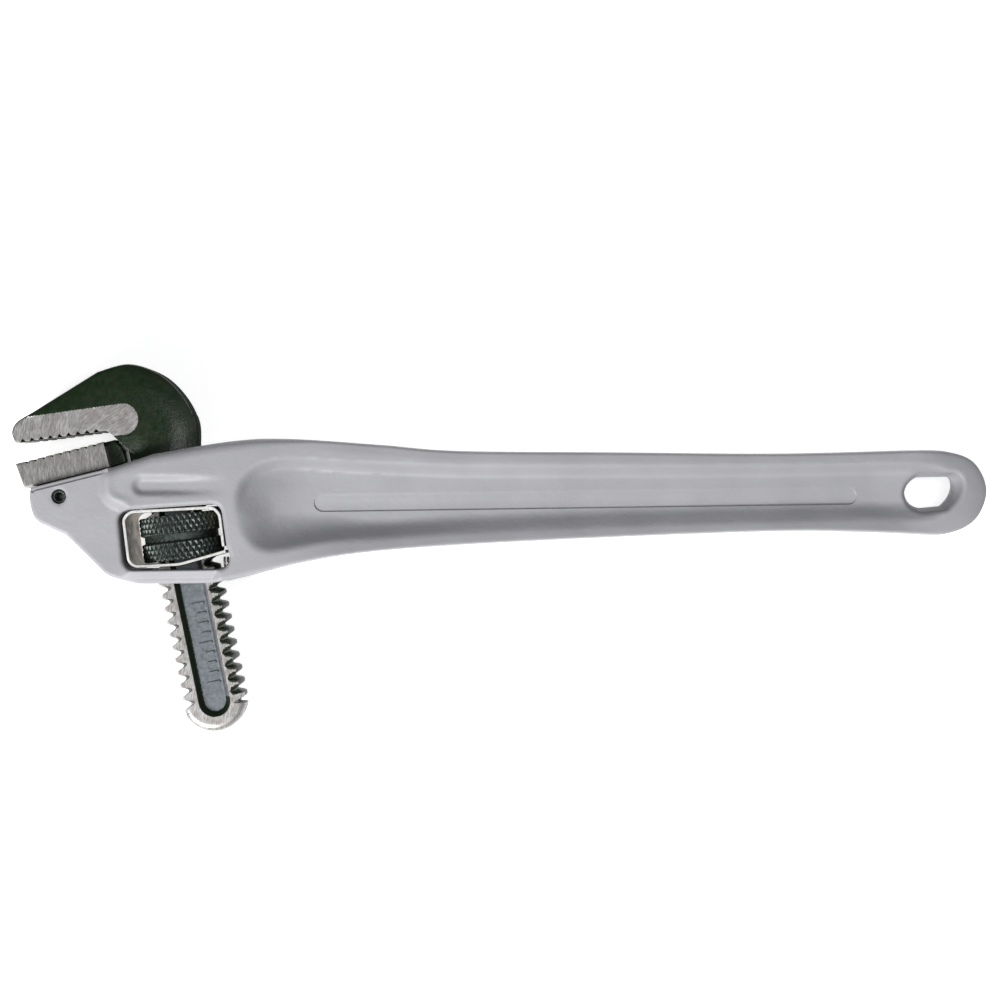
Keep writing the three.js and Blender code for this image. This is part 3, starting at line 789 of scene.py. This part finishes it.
def handle_cuts():
    """The shank's way through the head, the tang's slot, the pin's hole and the springs' seats."""
    neck = Outline((NECK["left"] - 0.3, 18), 100)
    neck.line((NECK["right"] + 0.3, 18), (NECK["right"] + 0.3, 45), (NECK["left"] - 0.3, 45))
    cuts = []
    for share in (0, 1):
        lean = math.radians(2) * share
        cuts.append(turn_object(shank_room("room"), lean))
        cuts.append(turn_object(prism("neck_room", neck.loop(), -8.8, 8.8), SHANK_TILT + lean))
    slot = Outline((4.7, -22), 100).line((27.3, -22), (27.3, 2), (4.7, 2), (4.7, -22)).loop()
    cuts.append(turn_object(prism("tang_slot", slot, -4.3, 4.3), HEEL_TILT, HEEL_CORNER))
    hole = stadium(PIN_AT, np.add(PIN_AT, (0.01, 0)), PIN_RADIUS + 0.3, 0.3)
    cuts.append(turn_object(prism("pin_hole", hole, -16, 16), HEEL_TILT, HEEL_CORNER))
    seat = Outline((10.9, -12.8), 100).line((22.9, -12.8), (22.9, -7), (10.9, -7), (10.9, -12.8)).loop()
    cuts.append(prism("coil_seat", seat, -2.85, 2.85))
    near, far = NECK["right"] - 1, NECK["right"] + 2.4
    leaf = Outline((near, 11.8), 100).line((far, 11.8), (far, 43), (near, 43), (near, 11.8)).loop()
    cuts.append(turn_object(prism("leaf_seat", leaf, -4.3, 4.3), SHANK_TILT))
    return cuts


def wall_rows():
    """Rows of the casting's walls, leaning out to the parting line, for the outside and both holes."""
    outside, hole = [], []
    for share in (0.75, 0.5, 0.28, 0.12, 0.07, 0.035, 0, -0.035, -0.07, -0.12, -0.28, -0.5, -0.75):
        ridge = RIDGE["height"] * math.exp(-((share / RIDGE["share"]) ** 2))
        outside.append((share, DRAFT * (1 - abs(share)) + ridge))
        hole.append((share, HOLE_FLARE * (1 - abs(share) ** 1.6)))
    return [outside, [], hole]


def handle_casting():
    loops = [CASTING_EDGE, WINDOW_EDGE, HOLE_EDGE]
    rings = (0.06, 0.25, 0.6, 1.1, 1.6, 1.95, 2.7, 3.6)
    panel = stadium(*PANEL, step=1.2)
    into = normals_in(panel) * 0.13
    creases = [closed(panel + into), closed(panel - into)]
    made = relief("Handle_casting", loops, handle_height, 0.85, rings, creases, wall_rows())
    combine(made, "DIFFERENCE", handle_cuts())

    def pick(centre, normal):
        own = turned(centre[:, :2], -SHANK_TILT)
        in_room = (np.abs(own[:, 0]) < 15) & (np.abs(centre[:, 2]) < 8.85) & (centre[:, 1] > -17)
        flat_wall = (np.abs(normal[:, 2]) > 0.99) | (np.abs(turned(normal[:, :2], -SHANK_TILT)[:, 0]) > 0.99)
        return in_room & flat_wall

    return finish_piece(
        made, [casting_paint(), machined_aluminium()], "handle", ["handle_casting"], pick
    )


# ---- Jaws ----
def tooth_notches(count, pitch, depth, start, half, way):
    """V-shaped notches across a tooth line, cut at a slant so that nothing shows through them.
    Their places are those on the front face; way is the side of the line where the jaw lies."""
    points, faces = [], []
    width, over, slant = 0.6 * pitch, 0.3, -0.5 * pitch / half
    wider = over * width / (2 * depth)
    for i in range(count):
        at = start + i * pitch
        section = np.array(((at + width / 2, way * depth), (at - wider, -way * over), (at + width + wider, -way * over)))
        section = section if area(section) > 0 else section[::-1]
        first = len(points)
        for z in (half + 1, -half - 1):
            points += [(x + slant * (z - half), y, z) for x, y in section]
        upper, lower = [first, first + 1, first + 2], [first + 3, first + 4, first + 5]
        faces += [tuple(upper), tuple(lower[::-1]), *wall(upper, lower)]
    return place("notches", points, faces)


def heel_jaw():
    block = Outline((0, 0), 0.8).line((1, -HEEL_HEIGHT), (HEEL_LENGTH, -HEEL_HEIGHT), (HEEL_LENGTH, 0))
    block = block.line((0, 0)).loop()
    shoulder = Outline((HEEL_LENGTH - 1, -HEEL_HEIGHT), 1.2)
    shoulder.line((37.8, -HEEL_HEIGHT), (37.8, -4), (35.6, 0), (HEEL_LENGTH - 1, 0))
    shoulder = shoulder.line((HEEL_LENGTH - 1, -HEEL_HEIGHT)).loop()
    tang = Outline((5, -21.15), 1.5).line((27, -21.15), (27, -8.15), (5, -8.15), (5, -21.15)).loop()

    def bevelled(loop, half, radius):
        return lambda points: half - rounding(depth_in(points, loop), radius)

    made = relief("Heel_jaw", [block], bevelled(block, HEEL_HALF, 0.16), 1.3, (0.05, 0.16))
    more = [
        relief("shoulder", [shoulder], bevelled(shoulder, SHOULDER_HALF, 0.6), 1.5, (0.1, 0.3, 0.6)),
        relief("tang", [tang], bevelled(tang, 4, 0.3), 2.0, (0.1, 0.3)),
    ]
    combine(made, "UNION", more)
    hole = stadium(PIN_AT, np.add(PIN_AT, (0.01, 0)), PIN_RADIUS + 0.3, 0.3)
    notches = tooth_notches(9, 3.1, 1.0, 3.2, HEEL_HALF, -1)
    combine(made, "DIFFERENCE", [prism("pin_hole", hole, -9, 9), notches])
    turn_object(made, HEEL_TILT, HEEL_CORNER)

    def pick(centre, normal):
        own = turned(centre[:, :2] - np.array(HEEL_CORNER), -HEEL_TILT)
        in_notch = (own[:, 1] > -1.2) & (own[:, 1] < -0.02) & (np.abs(normal[:, 2]) < 0.9) & (own[:, 0] > 1)
        return np.select([in_notch, own[:, 0] > HEEL_LENGTH + 0.05], [2, 1], 0)

    bare = ground_steel("ground_heel_steel", HEEL_TILT + math.radians(84), 0.35, 0.72)
    materials = [bare, black_oxide(), matte_scale()]
    return finish_piece(made, materials, "handle", ["heel_jaw"], pick, 25)


def heel_jaw_pin():
    inner, gap = PIN_RADIUS - 0.8, 0.5
    outer_start, inner_start = math.asin(gap / PIN_RADIUS), math.asin(gap / inner)
    loop = Outline((PIN_RADIUS * math.cos(outer_start), gap), 0.25)
    loop.arc((0, 0), PIN_RADIUS, outer_start, 2 * math.pi - outer_start)
    loop.arc((0, 0), inner, 2 * math.pi - inner_start, inner_start)
    loop = loop.line(loop.points[0]).loop()
    made = relief("Heel_jaw_pin", [loop], lambda p: 11.4 - rounding(depth_in(p, loop), 0.2), 0.4, (0.06, 0.2))
    turn_object(made, 0, PIN_AT)
    turn_object(made, HEEL_TILT, HEEL_CORNER)
    return finish_piece(made, [nut_steel()], "handle", ["heel_jaw_pin"])


def hook_outline():
    shape = Outline(jaw_point(0, 0))
    shape.line(jaw_point(32.8, 0)).spline((-22.1, 35.6), (-19.6, 32.9), shank_point(-9.7, 32))
    shape.line(shank_point(-9.7, NECK["bottom"]), shank_point(NECK["right"], NECK["bottom"]))
    shape.line(shank_point(NECK["right"], 31))
    shape.spline((6, 41.7), (1.3, 51), (-6.5, 58.4), (-17.2, 61.9), (-28.3, 59.2)).line((-51.4, 45.2))
    return shape.spline((-57.1, 41.7), (-59, 38), jaw_point(0, 0)).loop()


def ground_flat():
    end, radius = (-19.4, 42.1), 5.6
    shape = Outline((-75, 40.6), 0.8).line((-75, 20), (end[0] - 3, 20), (end[0] - 3, end[1] - radius))
    return shape.arc(end, radius, -math.pi / 2, math.pi / 2 + 0.14).line((-75, 40.6)).loop()


def hook_body():
    outline, flat = hook_outline(), ground_flat()

    def height(points):
        edge = depth_in(points, outline)
        sunk = ease((depth_in(points, flat) + 0.15) / 0.3)
        roll = 0.5 + 1.8 * ease((points[:, 0] + 28) / 24)
        crown = roll * (1 - np.clip(edge / 10.5, 0, 1)) ** 2 * (1 - sunk)
        above_teeth = turned(points - np.array(JAW_TIP), -JAW_TILT)[:, 1]
        soft = np.where(above_teeth > 1.8, 0.9 - 0.3 * sunk, 0.16)
        face = HOOK_HALF - crown - FLAT_DEPTH * sunk
        return face - rounding(edge, soft)

    into = normals_in(flat)
    creases = []
    for shift in (-0.16, 0.16):
        line = flat + into * shift
        keep = depth_in(line, outline) > 0.35
        first = int(np.flatnonzero(~keep)[0])
        creases += stretches(np.roll(line, -first, axis=0), np.roll(keep, -first))
    rings = (0.06, 0.2, 0.45, 0.9, 1.6)
    return relief("Hook_jaw", [outline], height, 0.9, rings, creases)


def thread_away(angle, y):
    """Distance along the shank's axis from the nearest crest, at an angle about the axis and a height."""
    phase = (y - CREST_PHASE) / PITCH - angle / (2 * math.pi)
    return np.abs((phase + 0.5) % 1 - 0.5) * PITCH


def thread_radius(angle, y):
    """The shank's thread, which runs out into the plain rounded end."""
    ridge = 0.5 * (1 + np.cos(math.pi * np.clip((thread_away(angle, y) - 0.4) / 1.75, 0, 1)))
    ridge = np.maximum(ridge, ease((-SHANK_END - 2.6 - y) / 1.2))
    return ROOT_RADIUS + (CREST_RADIUS - ROOT_RADIUS) * ridge


def threaded_rod(low, high, step=0.22, around=150):
    heights = np.arange(low, high + step, step)
    angles = np.arange(around) * 2 * math.pi / around
    shape = []
    for y in heights:
        r = thread_radius(angles, y)
        shape.append(np.column_stack((r * np.cos(angles), np.full(around, y), -r * np.sin(angles))))
    faces = []
    for k in range(len(heights) - 1):
        a = k * around
        for i in range(around):
            j = (i + 1) % around
            faces.append((a + i, a + j, a + around + j, a + around + i))
    last = (len(heights) - 1) * around
    faces.append(tuple(range(around - 1, -1, -1)))
    faces.append(tuple(range(last, last + around)))
    return place("threaded_rod", np.concatenate(shape), faces)


def shank():
    """The flat threaded shank, in its own upright frame."""
    side = CREST_RADIUS + 0.6
    envelope = Outline((side, THREAD_TOP), 0.9).line((-side, THREAD_TOP), (-side, -SHANK_END))
    envelope.arc((0, -SHANK_END), CREST_RADIUS, math.pi, 2 * math.pi).line((side, -SHANK_END))
    envelope = envelope.line((side, THREAD_TOP)).loop()
    channel = stadium(*CHANNEL)

    def height(points):
        x, y = points.T
        from_end = np.where(y < -SHANK_END, CREST_RADIUS - np.hypot(x, y + SHANK_END), 99)
        sunk = ease((stadium_depth(points, *CHANNEL) + 0.05) / CHANNEL_BANK)
        return SHANK_HALF - CHANNEL_DEPTH * sunk - rounding(from_end, END_ROUND)

    into = normals_in(channel)
    creases = [closed(channel + into * CHANNEL_BANK * share) for share in (0, 0.3, 0.65, 1)]
    slab = relief("shank", [envelope], height, 0.5, (0.15, 0.5, 1.1, 1.8, 2.6), creases)
    rod = threaded_rod(-SHANK_END - CREST_RADIUS - 1, THREAD_TOP + 0.5)
    return combine(combine(slab, "INTERSECT", [rod]), "UNION", graduations())


def graduations():
    """Plain raised marks in the channels, every fourth one long."""
    marks = []
    for k in range(9):
        long, y = (4.2 if k % 4 == 0 else 2.6), -25 - 3.6 * k
        loop = stadium((3.0 - long, y), (3.0, y), 0.5, 0.15)
        for face in (1, -1):
            floor = face * (SHANK_HALF - CHANNEL_DEPTH)
            top = face * (SHANK_HALF - CHANNEL_DEPTH + 0.5)
            marks.append(prism("mark", loop, min(floor - 0.1, top), max(floor + 0.1, top)))
    return marks


def neck():
    loop = Outline((NECK["left"], THREAD_TOP - 1), 1.5)
    loop.line((NECK["right"] - 1, THREAD_TOP - 1), (NECK["right"] - 1, 37), (NECK["left"], 37))
    loop = loop.line((NECK["left"], THREAD_TOP - 1)).loop()
    return relief("neck", [loop], lambda p: SHANK_HALF - rounding(depth_in(p, loop), 0.5), 1.5, (0.2, 0.5))


def hook_jaw():
    made = hook_body()
    combine(made, "UNION", [turn_object(shank(), SHANK_TILT), turn_object(neck(), SHANK_TILT)])
    notches = turn_object(tooth_notches(9, 3.3, 1.15, 1.6, HOOK_HALF, 1), JAW_TILT, JAW_TIP)
    combine(made, "DIFFERENCE", [notches])
    corner = (HEEL_LENGTH + 1, -HEEL_HEIGHT - 4)
    notch = Outline(corner, 100).line((corner[0] + 13, corner[1]), (corner[0] + 13, 3.4), (corner[0], 3.4))
    notch = turn_object(prism("notch", notch.line(corner).loop(), -5.8, 5.8), HEEL_TILT, HEEL_CORNER)
    beside = Outline((NECK["left"], 0), 100).line((40, 0), (40, 60), (NECK["left"], 60), (NECK["left"], 0))
    keep = turn_object(prism("beside", beside.loop(), -9, 9), SHANK_TILT)
    combine(made, "DIFFERENCE", [combine(notch, "DIFFERENCE", [keep])])
    flat = ground_flat()

    outline = hook_outline()

    def pick(centre, normal):
        plan, z = centre[:, :2], np.abs(centre[:, 2])
        own = turned(plan, -SHANK_TILT)
        above_teeth = turned(plan - np.array(JAW_TIP), -JAW_TILT)[:, 1]
        upper = (own[:, 1] > 24) & (depth_in(plan, flat) > 0)
        rim = (above_teeth > 1.8) & (depth_in(plan, outline) < 0.45)
        by_teeth = (above_teeth < 1.3) & (plan[:, 0] < -24) & (own[:, 1] > 24)
        land = by_teeth & (above_teeth < 0.02)
        in_notch = by_teeth & (above_teeth >= 0.02) & (np.abs(normal[:, 2]) < 0.9) & (plan[:, 0] > -56.5)
        on_flat = upper & ~rim & ~in_notch & (z > HOOK_HALF - FLAT_DEPTH - 0.3)
        shank_part = own[:, 1] < 30
        away = stadium_depth(own, *CHANNEL)
        at_end = own[:, 1] < -SHANK_END
        # on the right, the side away from the key light, only the middle of each thread is bare: the rest of the
        # ground flat there is painted black as shade
        off_crest = thread_away(np.arctan2(-centre[:, 2], own[:, 0]), own[:, 1])
        skin = off_crest > np.interp(own[:, 0], (6.4, 7.2, 9.4), (2.4, 0.95, 0.3))
        bare = shank_part & (away < 0.02) & ((z > 5.97) | (at_end & (z > 3.3))) & (at_end | ~skin)
        sunk = shank_part & (away >= 0.02) & (z < 6)
        # painted highlight and shade: the upper part of the channel's right bank, facing the key light, gets
        # bright bare steel, while the left bank, facing away, is left black oxide
        lit_side = (own[:, 0] > CHANNEL[0][0] + 2) & ~at_end
        bare |= sunk & lit_side & (away < 0.9)
        in_channel = sunk & ((away > CHANNEL_BANK - 0.1) | lit_side) & ~bare
        # painted highlight: the thread's flanks on the left, the side the key light comes from, get bright steel
        # instead of the black oxide they share with the flanks on the right
        glint_flank = shank_part & ~sunk & ~bare & (own[:, 0] < -8.8)
        side = (own[:, 1] > 24) & (np.abs(normal[:, 2]) < 0.35)
        return np.select([on_flat | land, bare, in_channel, glint_flank, side | in_notch], [1, 2, 3, 4, 5], 0)

    materials = [
        black_oxide(),
        ground_steel("ground_hook_flat", JAW_TILT + math.radians(72), 0.45, 0.9, (-36, math.radians(38))),
        ground_steel("ground_shank", SHANK_TILT + math.radians(70), 0.5, 0.95),
        channel_steel(),
        ground_steel("painted_glint_thread", SHANK_TILT, 0.3, 1.1),
        matte_scale(),
    ]
    return finish_piece(made, materials, "hook_jaw", ["hook_jaw"], pick, 30)


# ---- Adjusting nut ----
KNURL = {"around": 42, "axial": 3.8, "depth": 0.75}
NUT_GROOVE = {"radius": 13.2, "half": 1.15}


def nut_profile():
    """Rows of the nut's section from the middle groove out, round the top, down the bore and back."""
    fine, top = 0.17, NUT_HALF - 0.5
    groove = NUT_GROOVE["half"]
    band = np.linspace(groove + 0.35, top, int((top - groove) / fine))
    outside = [(NUT_GROOVE["radius"], y) for y in np.linspace(0, groove, 6)] + [(NUT_RADIUS, y) for y in band]
    lip = [(NUT_RADIUS - 0.35, NUT_HALF - 0.12), (NUT_RADIUS - 0.8, NUT_HALF), (NUT_BORE + 0.6, NUT_HALF)]
    bore = [(NUT_BORE, y) for y in np.linspace(NUT_HALF - 0.5, 0, 26)]
    half = outside + lip + bore
    mirrored = [(r, -y) for r, y in half[::-1][1:-1]]
    return half + mirrored


def adjusting_nut():
    rows = nut_profile()
    top = NUT_HALF - 0.5

    def radius(angle, k):
        r, y = rows[k]
        if r == NUT_RADIUS:
            turn = KNURL["around"] * angle / (2 * math.pi)
            cuts = [np.abs((turn + way * y / KNURL["axial"]) % 1 - 0.5) * 2 for way in (1, -1)]
            low = np.minimum(1.0, 1.25 * np.minimum(1 - cuts[0], 1 - cuts[1]) + 0.1)
            fade = ease((top + 0.3 - abs(y)) / 0.5) * ease((abs(y) - NUT_GROOVE["half"]) / 0.7)
            return NUT_RADIUS - KNURL["depth"] * (1 - low) - 0.45 * (1 - fade)
        if r == NUT_BORE:
            phase = (y - CREST_PHASE) / PITCH - angle / (2 * math.pi) + 0.5
            away = np.abs((phase + 0.5) % 1 - 0.5) * PITCH
            ridge = 0.5 * (1 + np.cos(math.pi * np.clip(away / 0.85, 0, 1)))
            return r - 2.5 * ridge * ease((NUT_HALF - abs(y)) / 1.2)
        return np.full(len(angle), r)

    made = turned_surface("Adjusting_nut", rows, radius, 42 * 11)
    turn_object(made, NUT_TILT)
    return finish_piece(made, [nut_steel()], "nut", ["adjusting_nut"], None, 50)


# ---- Springs ----
def filleted(points, radius, step=0.35):
    """An open line with its corners rounded."""
    points = [np.array(p, float) for p in points]
    line = [points[0]]
    for before, corner, after in zip(points, points[1:], points[2:]):
        into, out = before - corner, after - corner
        reach = min(radius, 0.45 * np.linalg.norm(into), 0.45 * np.linalg.norm(out))
        start = corner + into / np.linalg.norm(into) * reach
        end = corner + out / np.linalg.norm(out) * reach
        for t in np.linspace(0, 1, max(4, int(reach / step) + 2)):
            line.append((1 - t) ** 2 * start + 2 * t * (1 - t) * corner + t * t * end)
    return np.array([*line, points[-1]])


def nut_spring_frame():
    half_thick, half_width, soft = 0.48, 13.0, 0.16
    bent = [(16.7, -3.4), (15.4, 8.1), (13, 10.4), (-16.3, 9.1), (-18.6, 6.7), (-16.9, -8.3), (-14.7, -10.3)]
    line = filleted([*bent, (1, -9.6), (17.4, -5.2)], 1.6)
    along = np.gradient(line, axis=0)
    along /= np.linalg.norm(along, axis=1)[:, None]
    centres = np.column_stack((line, np.zeros(len(line))))
    sides = np.column_stack((-along[:, 1], along[:, 0], np.zeros(len(line))))
    ups = np.tile((0.0, 0.0, 1.0), (len(line), 1))
    t, w, s = half_thick, half_width, soft
    section = [(t, -w + s), (t, w - s), (t - s, w), (s - t, w), (-t, w - s), (-t, s - w), (s - t, -w), (t - s, -w)]
    made = tube("Nut_spring_frame", centres, sides, ups, section)
    combine(made, "DIFFERENCE", [shank_room("slot")])

    def pick(centre, normal):
        # the broad faces get the painted reflection; the front and back edges stay bright spring steel
        return np.abs(normal[:, 2]) < 0.2

    return finish_piece(
        made, [spring_steel(), painted_reflection_spring()], "spring_frame", ["nut_spring_frame"], pick, 30
    )


def coil_spring():
    """A compression spring of round wire, wound at an even pitch."""
    radius, wire, turns, start, end, at = 2.1, 0.45, 6, 14.9, 22.6, -9.9
    t = np.linspace(0, 1, turns * 28 + 1)
    angle = t * turns * 2 * math.pi
    run = start + wire + t * (end - start - 2 * wire)
    centres = np.column_stack((run, at + radius * np.cos(angle), radius * np.sin(angle)))
    radial = np.column_stack((np.zeros(len(t)), np.cos(angle), np.sin(angle)))
    along = np.gradient(centres, axis=0)
    along /= np.linalg.norm(along, axis=1)[:, None]
    other = np.cross(along, radial)
    section = [(wire * math.cos(a), wire * math.sin(a)) for a in np.arange(12) * math.pi / 6]
    made = tube("Coil_spring", centres, radial, other, section)
    return finish_piece(made, [spring_steel()], "handle", ["coil_spring"])


def flat_spring():
    back, thick, bow, low, high, half = NECK["right"] + 2.2, 0.7, 0.9, 13, 29, 4
    t = np.linspace(0, 1, 40)
    centres = np.column_stack((back - thick / 2 - bow * 2 * t * (1 - t), low + t * (high - low), 0 * t))
    along = np.gradient(centres, axis=0)
    along /= np.linalg.norm(along, axis=1)[:, None]
    sides = np.column_stack((along[:, 1], -along[:, 0], 0 * t))
    ups = np.tile((0.0, 0.0, 1.0), (len(t), 1))
    x, z, s = thick / 2, half, 0.12
    section = [(x, -z + s), (x, z - s), (x - s, z), (s - x, z), (-x, z - s), (-x, s - z), (s - x, -z), (x - s, -z)]
    made = tube("Flat_spring", centres, sides, ups, section[::-1])
    turn_object(made, SHANK_TILT)
    return finish_piece(made, [spring_steel()], "handle", ["flat_spring"])


# ---- Stage ----
def floor():
    size = 40.0
    mesh = bpy.data.meshes.new("floor")
    corners = [(-size, -size, 0), (size, -size, 0), (size, size, 0), (-size, size, 0)]
    mesh.from_pydata(corners, [], [(0, 1, 2, 3)])
    made = bpy.data.objects.new("floor", mesh)
    bpy.context.scene.collection.objects.link(made)
    pale = Finish("pale_floor", base_color=(0.9, 0.9, 0.9, 1), roughness=0.9)
    pale.surface.inputs["Emission Color"].default_value = (1, 1, 1, 1)
    pale.surface.inputs["Emission Strength"].default_value = 0.65
    mesh.materials.append(pale.material)


def area_light(name, place_at, size, power, aim, colour=(1, 1, 1)):
    light = bpy.data.lights.new(name, "AREA")
    light.shape = "RECTANGLE"
    light.size, light.size_y = size
    light.energy = power
    light.color = colour
    lamp = bpy.data.objects.new(name, light)
    lamp.location = place_at
    lamp.rotation_mode = "QUATERNION"
    lamp.rotation_quaternion = (Vector(aim) - Vector(place_at)).to_track_quat("-Z", "Y")
    bpy.context.scene.collection.objects.link(lamp)


def studio():
    world = bpy.data.worlds.new("studio")
    world.use_nodes = True
    world.node_tree.nodes["Background"].inputs["Color"].default_value = (1, 1, 1, 1)
    world.node_tree.nodes["Background"].inputs["Strength"].default_value = 0.15
    bpy.context.scene.world = world
    aim = tuple(NUT_CENTRE + Vector((0.11, 0, 0)))
    area_light("key", (-0.55, -0.72, 0.8), (0.45, 0.4), 22.5, aim)
    area_light("overhead", (0.2, 0.05, 1.3), (0.22, 0.36), 3.6, aim)
    area_light("fill", (0.8, 0.5, 0.9), (0.7, 0.7), 1.8, aim, (0.92, 0.95, 1))


def camera():
    lens, distance_up, roll = 69.9, 0.700, math.radians(-0.67)
    eye = bpy.data.cameras.new("camera")
    eye.lens = lens
    eye.sensor_width = 36
    eye.clip_start = 0.01
    holder = bpy.data.objects.new("camera", eye)
    holder.location = NUT_CENTRE + Vector((0.11479, 0.01182, distance_up))
    holder.rotation_euler = (0, 0, roll)
    bpy.context.scene.collection.objects.link(holder)
    bpy.context.scene.camera = holder


bpy.context.scene.view_settings.view_transform = "Standard"
camera()
studio()
floor()

CASTING_EDGE = handle_outline()
CASTING_EDGE = CASTING_EDGE + normals_in(CASTING_EDGE) * DRAFT
WINDOW_EDGE = window_outline()
HOLE_EDGE = hang_hole()
HOLE_EDGE = HOLE_EDGE - normals_in(HOLE_EDGE) * HOLE_FLARE

handle_casting()
heel_jaw()
heel_jaw_pin()
hook_jaw()
adjusting_nut()
nut_spring_frame()
coil_spring()
flat_spring()
